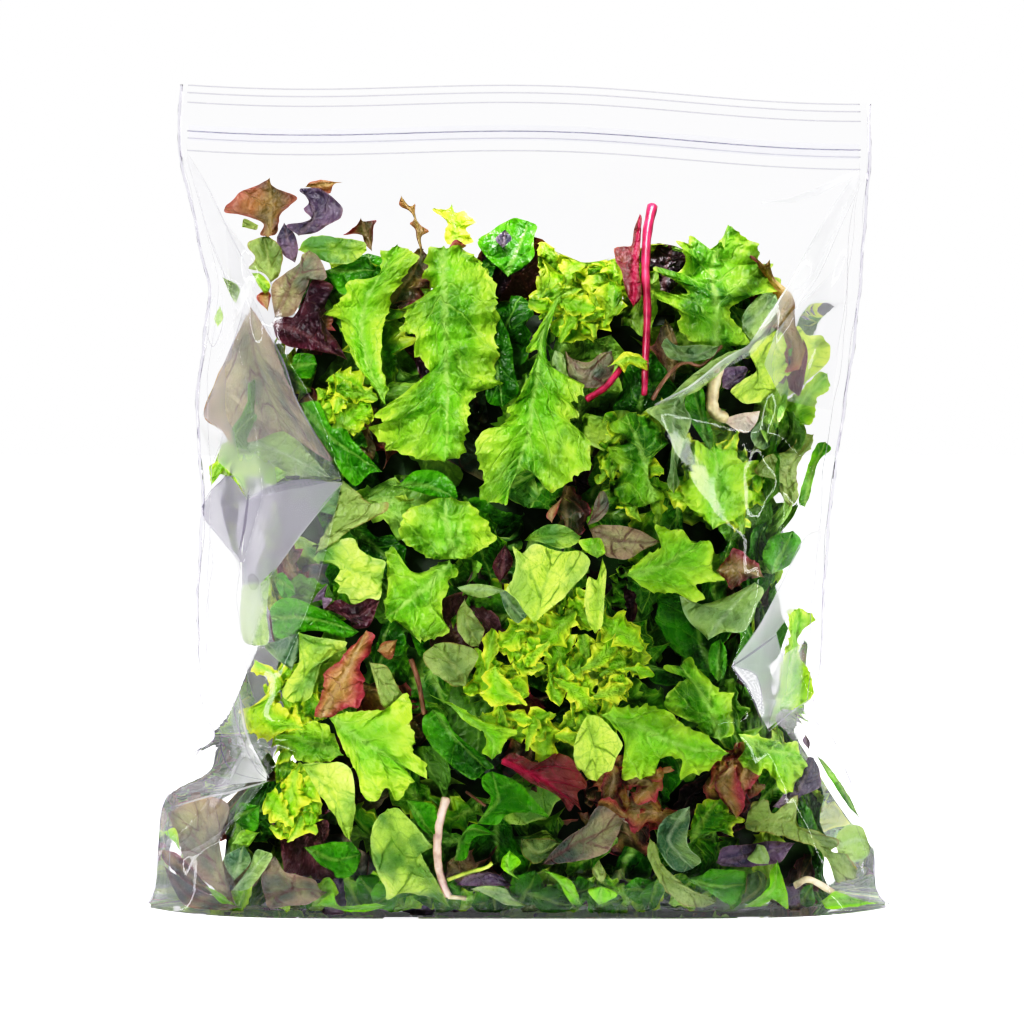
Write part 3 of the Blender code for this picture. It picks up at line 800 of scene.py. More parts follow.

# The leaves that lie against the front film. Each is its kind, its layer (0 touches the film), how
# light it is (0 to 1, from its painted-shade copy to its lit copy, so partly its own shade and partly
# painted light and shade), its midrib from base to tip and the corners of its two margins. A path is
# written as x and z pairs.
SHAPED_LEAVES = (
    ("oak", 0, 0.6, "-98 264, -97 275, -98 288",
     "-102 265, -101 270, -110 273, -117 274.5, -114 279, -110 282.5, -103 285",
     "-94 265, -92 273.5, -86 279.5, -90 282, -96 284.5"),
    ("olive", 0.3, 0.75, "-97 246, -98 255, -100 264.5",
     "-100 250, -106 252, -104 256, -107 261.5, -103.5 264",
     "-93.5 249, -91.5 255.5, -93 260.5, -97 264.5"),
    ("olive", 0.5, 1, "-102 269, -109 268.5", "-103 267", "-108 272"),
    ("batavia", 0.5, 1, "-105 250.5, -98 243", "-103 246.5, -100 242", "-101 250, -97 245.5"),
    ("rosso", 0.5, 0.7, "-98 235, -99 244", "-103 240.5", "-97 241"),
    ("violet", 0.5, 0.6, "-86 264.5, -80 273, -85.5 283.5",
     "-91 269, -81 270.5, -84.5 275, -82 277, -82 279.5, -86 282",
     "-79 265.5, -75 268, -69.5 271.5, -69 276.5, -74.5 281.5, -79 283.5"),
    ("oak", 0.6, 0.9, "-84 284, -69 286", "-81.5 286.3, -76.5 287", "-79 283, -74 281, -72.5 284.5"),
    ("violet", 0.8, 0.5, "-87.5 254, -92 270", "-92 257, -95 263", "-86 259, -87.5 265"),
    ("pale", 1, 0.35, "-86.5 259, -72 259, -59 258.5", "-83 263.5, -76 265, -70.5 264, -60 262",
     "-80 256, -74.5 253.5, -67 253, -62 255"),
    ("spinach", 2, 0.6, "-75.5 251, -56 251", "-67 254, -61 255", "-71 243, -66 241, -58 246"),
    ("rosso", 1, 0.5, "-57 258, -59.5 266, -61.5 271.5", "-60 261, -62 265.5, -69 264.5, -63.5 268",
     "-56.5 263, -56 268, -55.5 270.5, -60.5 270"),
    ("oak", 0.5, 1, "-38 257.5, -39.5 270, -46 280.5",
     "-40 263, -40.5 267, -43 269, -41 270.5, -43 274, -47 276.5",
     "-37 259, -37.5 264, -34.5 266, -38.5 269.5, -40 273, -40 277.5, -42 275.5"),
    ("frisee", 1, 0.75, "-24 259, -26 277.5", "-29 262, -29 267, -28 270, -34.5 275.5, -28.5 275",
     "-17 262, -20 267, -16 269.5, -19 272.5, -21 275, -24 272.5"),
    ("spinach", 2, 0.95, "-4 248, 4 271", "-14 258, -16 263, -10 267, -3 272", "6 255, 6 263, 7.5 269"),
    ("violet", 1.5, 0.4, "-6 259.5, -5 267", "-9 263", "-2.5 263"),
    ("rosso", 0.5, 0.4, "-28 257, -20 260", "-24.5 262.5", "-24 258"),
    ("mauve", 0, 0.7, "-95.5 232.5, -89 245, -81.5 258.5", "-97 244.5, -92 249.5, -86 253.5, -84.5 257",
     "-87.5 233.5, -83 242.5, -80 248.5, -77.5 246.5, -74 247.5, -76.5 254, -78.5 257"),
    ("purple", 0.4, 0.6, "-96.5 230.5, -84 226, -66 215.5", "-94 224, -89 220.5, -79 219, -72 217.5",
     "-92 233, -87 233, -83 242, -79.5 248, -74.5 246.5, -72 243.5, -79 239, -75 229, -70 223"),
    ("mauve", 0.3, 0.75, "-106 238, -103 215, -92 188",
     "-112 225, -121 207, -125 194, -118 188, -112 182", "-100 230, -93 216, -86 200, -78 187, -72 176"),
    ("sage", 0.5, 0.8, "-118 183, -100 182, -72 170", "-121 172, -112 170, -95 170",
     "-108 190, -95 193, -85 184"),
    ("batavia", 0.2, 0.8, "-101 168, -90 172", "-99 172.5, -95 174", "-97 167, -92 169"),
    ("batavia", 0.2, 0.9, "-107 164.5, -113 172", "-112 168", "-109 171"),
    ("batavia", 0.4, 0.7, "-122 166, -116 179", "-122.5 174", "-113 177, -115 170"),
    ("batavia", 0.4, 0.8, "-119 229, -118 238", "-120.5 233", "-116.5 233"),
    ("sage", 0.5, 0.8, "-110 238, -117 249", "-113 240", "-110 245"),
    ("batavia", 0, 0.85, "-51 198, -58 215, -60 235, -47 261",
     "-54 201, -62 212, -67 222, -70 230, -69.5 233.5, -78.3 234.5, -68.5 241, -67 246, -54.5 249, "
     "-55 258.5, -51 259.5",
     "-49.6 205, -51 215.5, -52 226.5, -48.6 237.5, -44 246, -37.5 255.5, -40.5 258, -44 260"),
    ("batavia", 0, 0.7, "-29 260, -28 225, -27 195, -28 176",
     "-34.6 259, -36 255, -38 249, -35 243, -43.4 237, -46 234, -45.7 229, -48.5 226.3, -41 224, "
     "-40 217.5, -36 212, -34.5 209, -42 205, -47 201, -57 193.5, -52 191, -59 189, -56 184, -50 179.4, "
     "-41.5 177",
     "-19 259.5, -13.7 254.8, -5.8 246, -7.5 237, -6.5 230, -7.6 223, -7 209, -3.8 206, -11.5 202.5, "
     "-15.3 196, -18 192, -19.2 183, -18.5 179, -24 176.5"),
    ("batavia", 0, 0.66, "19 245, 10 228, 7 210, 5 195, 2 180, -6 160",
     "13 238, 8 229, 4 223, 1 217, 6.4 216.8, 2 207.6, -1.5 199, -7 195.6, -3.8 193, -9.6 189.3, "
     "-16 188, -16.6 180, -15 176, -15.3 167.5, -17.2 165.5, -16.6 160",
     "14 231, 10.5 221, 12 210, 15.3 205, 21 202.7, 26.5 205, 26 201, 21 198, 25.5 193.5, 22.3 190, "
     "28.7 184, 30 180.5, 30 174.5, 26 172, 20 169.4, 12.5 163.6, 7.6 172, -0.6 169.4, -3.5 158"),
    ("spinach", 1, 0.5, "-12 240, -6 197", "-14 215, -12 200", "-4 226, -0.6 209, 0 203"),
    ("sage", 0.2, 0.8, "14 219, 16 210, 23 204.5", "12.5 214, 14 209.5", "17.5 217, 19 210"),
    ("mauve", 0.6, 0.35, "18 219, 25 211, 36 219", "19 210, 22.5 205, 32 205, 37 212",
     "21 216, 27 214.5, 31.5 218"),
    ("frisee", 0, 0.95, "34 212.5, 42 215.5, 49.8 215", "39.5 217.8, 42 219, 47 217.5",
     "38 213.8, 40.7 209.8, 42.6 213, 49.5 211.3"),
    ("chard", 0.3, 0.7, "44.5 236, 45.5 255, 47.8 273.5",
     "41 243, 40 250, 38 254, 37.3 259.3, 40.5 260.3, 44 260.2, 45.5 268",
     "47.7 240, 47.3 252, 48.3 265, 48.8 272"),
    ("batavia", 1, 0.45, "77 219, 77 240, 76 252, 82.8 269.7",
     "66 222, 61 229, 60 236, 52.5 240, 51 244.5, 59 242, 65 242, 62 246, 52 250.5, 54 252.5, 60 250, "
     "62 259.5, 61 263.3, 66.3 262, 66.3 265.8, 70.5 263, 66 257, 74.5 258.5, 77.3 261.5, 80 258.5, "
     "82.4 264",
     "92 222.5, 84 235, 94 241, 104 243.5, 105.2 248, 101.5 250, 101.3 254.8, 92 251.5, 96.7 253.5, "
     "97.3 258.5, 95.5 262.5, 88.4 265.7, 86.4 268"),
    ("sage", 1.5, 0.55, "88 228, 101.5 242", "88 234, 95.5 242", "93 223.5, 102 235"),
    ("sage", 0.4, 0.35, "55 221, 66 217, 78 221", "58 216, 66 214.5, 75 216.5",
     "57 224, 61 221, 70 221.5"),
    ("sage", 0.3, 0.75, "90 221, 75 211, 61 199, 60 182, 59.5 164",
     "80 211.5, 70 203.5, 65 201, 65 197, 67 192, 64 183, 61 173, 62 168",
     "79 218, 69.6 212, 63 206, 55.5 199, 48 196, 53 192, 58.5 185, 57.5 174, 57 167"),
    ("pale", 0.5, 0.85, "85 201, 100 212, 122 224",
     "82 204, 88 208.6, 93.4 212.5, 90 219.7, 97.7 226, 103 228.5, 106 221, 110 229.7, 114 226.5, "
     "120 227", "88.5 198.3, 99.6 199.8, 106 201, 111 204.4, 115.4 208, 120 211.5, 124 217, 124 222"),
    ("violet", 0.2, 0.4, "106 218.5, 110.5 213", "109.5 217.5", "106.8 214"),
    ("violet", 0.8, 0.8, "79.5 205, 90 212", "80 212, 88 213.5", "82.5 204.2, 87 207"),
    ("blush", 1, 0.9, "79 192.5, 95 196", "87 195", "85 188.5, 90 187.3, 94 192"),
    ("spinach", 1, 0.6, "74.5 180, 68 205", "68 190, 64.5 197, 65 202", "76 186, 73 195, 72 204"),
    ("sage", 1, 0.3, "93 182, 104 199.5", "91 187, 97 194, 100.3 199.5", "97 180.5, 101 184, 102.6 191.5"),
    ("batavia", 1, 0.5, "102 182, 112 198, 123 211", "101 190, 104 196, 106 201, 114 207, 119.5 212",
     "109 187, 113.5 190.5, 118.5 191, 118.8 200.5, 124.3 203.5, 124 208.5"),
    ("olive", 0.3, 1, "107 158, 106 172, 117.5 187",
     "103 162.5, 101 169, 94 170.5, 92 174, 97 178.5, 105 180.3, 111 187",
     "110.5 161, 111 172, 113 177, 117.5 182.6"),
    ("mizuna", 0.6, 0.45, "113 158, 117 172, 122 184", "110 160, 114 173, 118 183",
     "115.5 162, 119.5 176, 124.7 181"),
    ("batavia", 0.4, 0.8, "75 150, 77 168, 76 184", "64 160, 62 168, 66 174, 68.7 184.5, 73 181",
     "88 156, 94 163, 89 167.5, 94.5 172, 95 177, 87.5 176, 86.6 181.5, 80 181"),
    ("batavia", 0.8, 0.35, "52 160, 48 178, 41 195",
     "44 158, 36 163, 38 172, 33 181, 40 183, 34 190, 39 193",
     "57 163, 50 170, 53 178, 58 184, 54 191, 47 196"),
    ("spinach", 0.6, 0.95, "-85 199, -70 184, -52 172.3",
     "-80.5 189, -75 182.5, -70 174.5, -65 168.5, -62 167, -57 171.5",
     "-77 199.5, -74 193, -71 189, -66.5 189, -62.5 184"),
    ("spinach", 1.2, 0.75, "-89 213, -78 214", "-87 218, -80 218", "-86 209, -80 209"),
    ("olive", 0.2, 0.9, "-78 141, -71 155, -67.5 169.5", "-76.4 146.5, -73.8 151, -70.3 156.5, -68.5 163",
     "-72 144, -66 148.5, -57.3 153.5, -50.5 157, -49 161, -55 160, -61 164.5, -65 167.5"),
    ("pale", 0.4, 0.45, "-52 130, -62 134, -79 139",
     "-52.8 123.5, -58 123.5, -63.7 121.3, -65.7 125, -69.6 125.6, -68.3 129, -71 130.5, -67 133, "
     "-66 136.5, -68.3 139.5, -74.7 139, -76.5 136.3",
     "-50.8 138, -56 140.5, -60.5 143, -63 147.5, -70 146.5, -76 143"),
    ("batavia", 0, 0.65, "-24 139, -27 150, -28 163",
     "-34 138.5, -37 141, -41 143, -47 148, -46 153, -42.5 158.5, -35 160.5, -33 162.5",
     "-17 140.3, -14 142, -7.4 146.6, -8.3 149.5, -11 154, -15.3 158.6, -19.2 161, -23 162.3"),
    ("batavia", 0.5, 0.6, "-26 139, -36 128, -51 116",
     "-21.7 134, -25 129.5, -28.4 121, -28 115, -25.5 110.6, -34.4 106.7, -41.4 110.5, -49 114.5",
     "-31 137.5, -38.8 134, -45 137, -48 145, -51.5 142.5, -50.5 138, -51.5 126, -51.5 120"),
    ("spinach", 0.5, 1, "-46 167, -34 167, -23 162", "-40 172.5, -33 173, -28 171.5, -24 167",
     "-38 164.5, -30 162.5"),
    ("spinach", 1, 0.9, "-95 131, -86 125", "-92 133, -88 129", "-94 127, -91 123"),
    ("spinach", 0.8, 1, "-96.5 115, -80 116, -61 111",
     "-97 119, -91 123, -82 122, -75 119.3, -67.8 115.3",
     "-95 107.5, -89 107.5, -84.6 110, -78 111, -66 108.7"),
    ("violet", 0.6, 1, "-79.5 122, -73 129.5", "-77 126", "-71 124, -75 119.8"),
    ("purple", 0.8, 0.5, "-75 119.5, -63 117, -53 123", "-67 117, -62.5 112, -56.5 114",
     "-69 123.5, -63.5 121.5, -58 124"),
    ("sage", 0.4, 0.95, "-103 104, -104 118, -97 130", "-109 107, -109 127", "-97 106, -98 118"),
    ("pale", 0.1, 0.6, "-84.7 110.6, -82 98, -86 83", "-84.8 104, -85 98, -89.8 91.3, -91.5 86, -89 83.2",
     "-77 109, -65.3 106.8, -75 99, -77 93, -79 86.5, -81.5 84"),
    ("sage", 0.7, 0.1, "-87.5 95.5, -85 110", "-99 103.5, -94 106.5", "-84 103"),
    ("rosso", 0, 0.95, "-76 77.5, -68 92, -58 112", "-78.6 79, -76 88, -74.6 95, -69 101, -62 108.5",
     "-70 78.8, -65 82, -60.2 83, -58 91, -60 97, -55 106, -54 110"),
    ("oak", 0.5, 1, "-54 104, -46 108.5", "-48.5 100.5", "-52 107.5"),
    ("olive", 0.6, 0.9, "-57 100, -50 90, -43 86.5", "-53 85, -50 81.3", "-50 98.8, -46.5 92"),
    ("frisee", 0.2, 0.95, "-82 73, -97 78, -92 90, -103 99",
     "-93 70, -100 66, -108 72, -110 78, -105 80, -98 86, -98 92, -104 93",
     "-84 78, -90 82, -94 85, -90 92, -95 97.5"),
    ("batavia", 0.3, 0.75, "-67 63.5, -80 68, -95 70", "-70 70, -73 76, -80 77, -85 73.5, -90 71.5",
     "-75 60, -82 59.3, -89.5 63.5, -95 65"),
    ("pale", 0, 0.75, "-84 60, -72 50, -64.5 31", "-78 50.5, -70 39, -67 33",
     "-76 61, -66 61, -62.3 53, -62.5 40"),
    ("batavia", 0, 1, "-72.5 78, -58 69, -44 60",
     "-68 67.6, -62 56.5, -60 49, -55 46, -50 51, -46 45.4, -42 49, -39.5 54",
     "-66 81.3, -55 81.5, -48.9 83, -42.4 89, -40 86, -38.7 80.7, -40.5 76.5, -38.6 73, -39 66, "
     "-34.6 60.5, -34 55"),
    ("mauve", 0.3, 0.75, "-109.5 4, -120 22, -138 37", "-116 8, -124 14, -133 22, -137.5 31, -140 36",
     "-112 12, -114.6 21, -116 30, -112.5 41, -120 43.5, -130 41.5"),
    ("batavia", 0.2, 0.9, "-141 29, -133 23", "-136 30.5", "-137 26.5"),
    ("rosso", 0.4, 0.15, "-141 22, -119 8.5", "-133.7 21.8, -123.4 14", "-141 18, -130 11, -120 7.5"),
    ("mizuna", 0.1, 0.9, "-121.5 11, -110.5 4.5", "-115 9", "-116 5"),
    ("mauve", 0.3, 0.3, "-140 16.5, -128 6, -108 3", "-125 10, -116 6.5", "-136 9, -129 1.5, -115 1.2"),
    ("spinach", 1, 0.6, "-111 37, -100 43", "-108 43.5", "-106 33.5, -101 34"),
    ("batavia", 0.7, 0.8, "-111 28, -100 33", "-107 33.5", "-105 26.5"),
    ("sage", 0.6, 0.15, "-110 14, -106 28", "-114.5 22", "-103 22"),
    ("sage", 0.2, 0.7, "-111 10, -96 26", "-104 19.5, -101 27", "-103 12, -94.5 24"),
    ("mauve", 0.4, 0.6, "-98 8, -84 12, -73.5 10.5",
     "-99 17, -94 24.5, -90 18.5, -85 18, -78 16, -76.5 12", "-96 3.5, -88 4.5, -80 6"),
    ("spinach", 0.5, 0.9, "-82.5 28, -70 24, -60 26", "-71 30.5, -64 30.6",
     "-77 22.5, -71 18.5, -70 15.8, -63 18"),
    ("mizuna", 0.3, 0.6, "-79 5, -60 4, -50 5", "-71 11, -70.5 5.5, -62 5.5, -55 6.5",
     "-70 3.5, -64 1.5, -58 1.5"),
    ("pale", 0, 0.45, "-50 44, -44 27, -26 4.5",
     "-56 38, -57 28, -54 18, -51.5 12, -51 7, -45 10.6, -36.3 9.4",
     "-45.3 44.5, -39.6 39, -35 33, -32 29, -37 28, -33.8 20.7, -28 10"),
    ("spinach", 0.6, 1, "-43 47, -32 33", "-38 37", "-33 46, -31 40"),
    ("spinach", 0.6, 0.55, "-32.5 82, -24 71, -12 59", "-37 77.5, -34 69, -25 60, -17 55",
     "-28 79.5, -24 73, -14.6 65, -9 60"),
    ("batavia", 0, 0.85, "-34 88, -20 79.5, -10 70, -10 62.5",
     "-26 84, -24 80.5, -18.5 75, -14 73, -12.7 68, -14.6 65",
     "-24 84.3, -14.7 78.3, -7 75.7, 0.7 73.7, -4.4 70, -5.7 65"),
    ("spinach", 0, 1, "-15.8 38.2, -8 47, -10 58.5", "-10.5 47.5, -13.3 52, -14 55.7, -12.5 58",
     "-8 38, -4 42, 8 42.3, 11.8 40.7, 6 47.8, 2 52.6, -5.7 57"),
    ("chard", 0, 0.75, "-6.6 62.5, 6 56.5, 22 46", "-0.6 57.5, 6 53, 13 49.7, 17 46.5, 19.5 42.3",
     "-3 65.5, 3 63.5, 8 62, 15 65, 20.4 63.5, 22.5 59.5, 26.8 52.6, 23 50, 24 43"),
    ("pale", 0, 1, "26 80.5, 29 68, 30 54.3", "22.8 74.5, 20.4 67.3, 21 62, 24 58, 26.8 55",
     "32 79, 36.3 74.3, 39.8 70, 40 67, 37 62, 36 58.5, 33.2 57.8"),
    ("spinach", 0.2, 1, "-24.5 24, -20 35, -8 33.5", "-22 33, -17 38", "-20 24.5, -17.5 32, -13 33.5"),
    ("olive", 0.3, 0.45, "1 32, 8 27, 16 30.5", "1 26.5, 4 23.3, 8 22", "6 32.3, 12 32.5"),
    ("mauve", 0, 0.5, "8.5 22, 22 30, 40 39", "20 23, 32 26, 37 31",
     "13 28, 19 33.5, 26 38, 27.5 42, 31.5 45.8, 37 42.5"),
    ("mizuna", 0, 0.95, "0.4 16, -4 21, -3.4 28", "-6.3 20, -6.7 24", "-2 19.5, 1.4 23.3"),
    ("violet", 0.3, 0.5, "-24 14, -12 18, -2.5 13.5", "-14 13.5", "-18 18.5, -8 18.5"),
    ("sage", 0.1, 0.75, "-18.5 12.5, -6 10, 3.5 5", "-10 9, -5 5.5", "-13 14, -5 12.8, -2 8"),
    ("mizuna", 0, 0.7, "9 20.5, 17 14, 25 5", "14.7 15.7, 20 6", "18.6 17.2, 22 13.5"),
    ("mizuna", 0.1, 0.9, "31 5, 32 13.7", "26.5 11.7", "38.5 9.7"),
    ("olive", 0.2, 0.9, "32 14, 31 24", "28 19.5", "33.8 18.5"),
    ("pale", 0, 0.8, "6 115, 10 130, 13 143",
     "2 119.5, -1.2 124.4, -5 127.6, -3 132, -1.2 138.5, -2.5 144.8, 1 141.3, 5.8 145.7",
     "9.6 118, 14 122, 18 125.2, 21.7 129, 25.5 133.4, 28 138.5, 24.3 142.8, 18 142.2"),
    ("pale", 0.3, 0.45, "2 146.3, 13 148, 24 148", "9 145.3, 16 143, 22 144.7",
     "5 149.5, 11.5 152.6, 18 152"),
    ("pale", 0, 1, "29 111, 30 125, 32 140", "26 116, 25 124, 26.5 133, 29.5 131",
     "32 114, 33 124, 33.6 134"),
    ("batavia", 0, 0.85, "30 139.5, 28 147.5", "25 142.5, 23 146.5", "33 141.5, 32 147.2"),
    ("mauve", 0.2, 0.95, "27 150.5, 40 146, 55 145.5",
     "29 146, 31.5 142.5, 35 139.3, 42 139.2, 48.3 142.7", "31.3 152.4, 40.5 151.8, 47 150"),
    ("rosso", 0.1, 0.5, "12.8 153, 12.5 158, 17 163", "10.5 156.6", "15 157.5"),
    ("mauve", 0, 0.5, "26 152, 30 158, 31 165", "28 156.7, 29 161", "31 154, 34 157.5, 34.4 161, 33 165"),
    ("purple", 0.5, 0.6, "-7 130, -5 145", "-10 137", "-2 138"),
    ("sage", 0, 0.8, "-23.5 128.5, -14 128, -4.5 127.3", "-20 126, -14 124.5", "-17.3 130, -10 129.3"),
    ("sage", 0.1, 0.15, "-7.5 127.3, 2 116.5", "-4.5 119, -0.5 114.8", "-3 126.5, 3.5 119"),
    ("olive", 0.3, 0.7, "-20.5 124.5, -19 114, -15 106", "-23.7 118, -23 111, -19 106",
     "-17 119, -12.5 112.5"),
    ("olive", 0.2, 0.85, "-20 91, -25 99, -32 107", "-25 90.3, -29 93, -35 98, -36.5 103",
     "-18 96, -15 103, -20 107, -27 108.3"),
    ("frisee", 0, 1, "-9 99, -7 90, 2 84",
     "-12 97, -14.8 94.7, -12 90.5, -14.8 88.3, -13 85, -10.5 83, -7 83.3", "-5 95, 0 89.5, 3.9 83.5"),
    ("batavia", 0, 0.95, "41 133, 56 137, 70 146",
     "49.4 127, 57 124.5, 61 125.5, 68.5 121.7, 72.2 124, 69 128.3, 79.5 130.6, 75 134.7, 76.2 142, "
     "75.5 146", "43 137, 50 142.5, 55 145.5, 52 152, 58.6 151.8, 63 151, 67.6 145.3"),
    ("rosso", 0.4, 0.2, "76 134, 86 135, 96 131", "79.7 130, 83 126.5, 89 130",
     "79 138, 82 142, 85 142.8, 90 139.5, 94 136"),
    ("sage", 0, 0.85, "73 107.5, 80 118, 92 129.3",
     "69.5 111, 65 115.4, 61.2 125.3, 65 122.3, 72 121.7, 79.4 123.8, 86.3 127",
     "79.4 110, 87 110, 90 113, 93.2 119, 96 126"),
    ("spinach", 0.3, 0.8, "99 132, 104 142, 108 149", "95 139, 99 147", "108 136, 112 144.5"),
    ("batavia", 0.3, 0.95, "98 73, 108 92, 111 118.5", "101 85, 104 100, 106 110, 106 117.5",
     "104 78, 109.6 77.5, 116.5 80.5, 118.5 85, 117 92, 113 98, 112.5 108, 118 113.2, 114.5 117.5"),
    ("batavia", 0.4, 0.55, "78 68.5, 73 83, 62 98",
     "72 71, 64 77, 54 83.5, 60.6 91, 64.4 94.5, 56 96.5, 56 99",
     "83.8 72, 83.5 79, 84.8 87, 78.7 88, 74 92.5, 71 97, 66 102.3"),
    ("batavia", 0, 0.95, "31 80, 48 74, 62 68, 81 64",
     "36 75, 40.5 69, 39.5 60, 39.3 52.5, 44 54.5, 51.4 55.2, 54 61.5, 61 60.5, 62 55, 68.4 54.7, "
     "75 57, 80.2 61.5", "36 83, 49.5 84.2, 58 82.5, 62 78.5, 67 73.6, 72.8 72, 78.2 67.8"),
    ("spinach", 0.8, 0.7, "77 91, 78 108", "73.5 97, 74 105", "80 95, 80.5 103"),
    ("batavia", 0, 0.6, "85 71, 98 64, 112 60",
     "87.5 65, 85 60, 92 54, 95.5 56.5, 100 51, 104 46.3, 110.3 50.6, 114 55.5",
     "90 71.5, 97 70, 104 66, 110.5 66"),
    ("violet", 0.2, 0.6, "98.5 42.5, 109 48, 117 59", "102 46, 110 51.5, 114 59.5",
     "104 41.5, 111 45.5, 118.5 48, 119.3 54"),
    ("violet", 0.6, 0.8, "115 62, 113.5 68.5", "112 66", "115.5 65"),
    ("mizuna", 0.3, 0.35, "118 60, 126 50, 136.5 33", "121 54, 130 40", "123.5 55.5, 132 43"),
    ("rosso", 0.3, 0.8, "83 60, 79 52, 84 39", "76 55, 76 49", "85 55, 88 45"),
    ("frisee", 0.3, 0.35, "66 30, 72 40, 78 47", "65 35, 68 44, 72 47",
     "72 33, 80 34, 84 31, 83 35, 88 38, 82 41, 82 46"),
    ("olive", 0, 0.75, "87 37, 104 37, 118 26, 124 12",
     "87 34, 96.5 32.5, 108.6 28.5, 115 25.5, 121 19.5, 123 13",
     "90 46, 96.3 45.7, 98.7 41.5, 109 47, 108 36.5, 113 34, 126 28, 123 24, 130 22, 134 14, 128 11"),
    ("sage", 0.1, 0.6, "96.5 21, 92 29", "91.5 21.3, 88 23.5, 90.3 26", "97 23.5, 95 28"),
    ("mizuna", 0, 0.85, "87 4.5, 98 12, 100 22.8", "90 7, 96 13, 96.5 18.5",
     "94 4.2, 99 7.5, 104.5 2, 104.5 8, 102.5 15"),
    ("mizuna", 0, 0.8, "117.5 5, 130 4, 142.5 1", "123.5 8.7, 132 5.2", "121 0.8, 132 0.8"),
    ("spinach", 0.3, 1, "64 16, 76 13, 87 14", "74.5 9.5, 80 6, 84 6", "70.5 17.3, 75 19.8, 87 18.3"),
    ("olive", 0.5, 0.1, "85 5, 93 12, 92 19", "87 10, 88 17", "93.5 8.5, 96 15, 94 18.5"),
    ("olive", 0, 1, "50 33, 56 18, 76 6.5", "49 26, 52.7 17, 59 8.5, 66 4.5, 74 4.5",
     "53 30, 55.5 22.5, 62 16, 68.4 11.5, 74.2 9.5"),
    ("sage", 0.2, 0.2, "65.8 44.3, 58 32, 67 20", "60 42.5, 54 37.5, 53 29, 57 22, 62 19",
     "66 40, 64.7 33, 66 28, 70.3 23.5"),
    ("violet", 0.8, 0.6, "76 22, 92 25, 107.5 28", "80 20, 92 20, 101 21", "79 28, 90 29, 100 29.5"),
    ("sage", 0.3, 0.9, "124 26, 133 27, 140 25", "127 19.5, 134 18.5, 139 20", "125 30.5, 131 33, 139 30"),
)

# Patches of small torn bits: kind, middle, reach across and up, how many, and how light (from the
# painted-shade copy to the lit copy).
BITS = (
    ("frisee", 14, 98, 33, 31, 66, (0.55, 1.0)), ("frisee", 24, 246, 16, 18, 26, (0.5, 1.0)),
    ("frisee", -95, 78, 15, 18, 24, (0.5, 1.0)), ("frisee", -69, 199, 10, 11, 12, (0.4, 0.9)),
    ("frisee", 45, 175, 12, 19, 14, (0.3, 0.8)), ("frisee", 80, 168, 15, 16, 18, (0.4, 0.9)),
    ("frisee", -92, 45, 12, 14, 12, (0.5, 0.9)), ("rosso", 45, 48, 13, 10, 16, (0.3, 1.0)),
    ("blush", 45, 48, 11, 8, 5, (0.4, 0.9)), ("rosso", 84, 50, 10, 10, 9, (0.3, 0.9)),
    ("spinach", 0, 8, 120, 4, 20, (0.2, 0.8)), ("batavia", 0, 8, 120, 4, 16, (0.3, 0.8)),
    ("violet", 10, 8, 110, 4, 10, (0.3, 0.9)), ("olive", -10, 8, 110, 4, 10, (0.2, 0.7)),
)


def outline(u, base, peak, tip):
    """Half-width of a leaf along its length, as a share of its widest."""
    rise = base + (1 - base) * np.sin(math.pi / 2 * np.clip(u / peak, 0, 1)) ** 1.3
    fall = np.cos(math.pi / 2 * np.clip((u - peak) / (1 - peak), 0, 1)) ** tip
    return rise * fall


def cusps(run, step, rng):
    """Margin points: 1 at each sharp tip and 0 in the round bays between them, unevenly spaced."""
    count = max(int(run.max() / step), 1) + 2
    marks = np.cumsum(rng.uniform(0.5, 1.5, count) * step) - rng.uniform(0, step)
    marks = np.concatenate([[-1.5 * step], marks, [run.max() + 2 * step]])
    heights = rng.uniform(0.25, 1.0, len(marks))
    i = np.clip(np.searchsorted(marks, run, side="right") - 1, 0, len(marks) - 2)
    t = np.clip((run - marks[i]) / (marks[i + 1] - marks[i]), 0, 1)
    low, high = heights[i], heights[i + 1]
    dip = np.sqrt(np.clip(1 - np.abs(2 * t - 1) ** 1.7, 0, 1))
    return (low * (1 - t) + high * t) * (1 - dip)


def drift(run, span, low, rng):
    """Between low and 1, drifting along a margin, so that it is frilly here and smooth there."""
    marks = np.arange(0, run.max() + 2 * span, span)
    return np.interp(run, marks, low + (1 - low) * rng.uniform(0, 1, len(marks)) ** 0.8)


def ripple(run, wavelength, rng):
    """An uneven wave of height 1 and its quarter-turned twin."""
    slow = run / wavelength * 2 * math.pi
    wander = 1.1 * np.sin(slow * rng.uniform(0.21, 0.39) + rng.uniform(0, 6.3))
    phase = slow + wander + rng.uniform(0, 6.3)
    height = 0.72 + 0.28 * np.sin(slow * rng.uniform(0.3, 0.55) + rng.uniform(0, 6.3))
    return height * np.sin(phase), height * np.cos(phase)


def grown_lines(kind, length, width, fineness, bend, shift):
    """Midrib and both margins, row by row, of a leaf that follows its kind's outline along y."""
    look = KINDS[kind]
    u_low, u_high = bend.get("part", (0, 1, -1, 1))[:2]
    rows = int(np.clip(length / look["grid"][0] * fineness, 18, 100))
    u = np.linspace(u_low, u_high, rows + 1)
    half = width / 2 * outline(u, look["base"], look["peak"], look["tip"]) + 0.15
    y = (u - (u_low + u_high) / 2) * length
    x = width * 0.06 * hills(u * length, 0 * u + 7.0, length * 0.45, shift)
    ahead = y + width * 0.12 * np.sin(math.pi * u)
    return np.stack([x, y], axis=-1), [np.stack([x + way * half, ahead], axis=-1) for way in (-1, 1)]


def corners_of(path):
    """The (x, z) corners of a path that is written as pairs."""
    return [tuple(float(number) for number in pair.split()) for pair in path.split(",")]


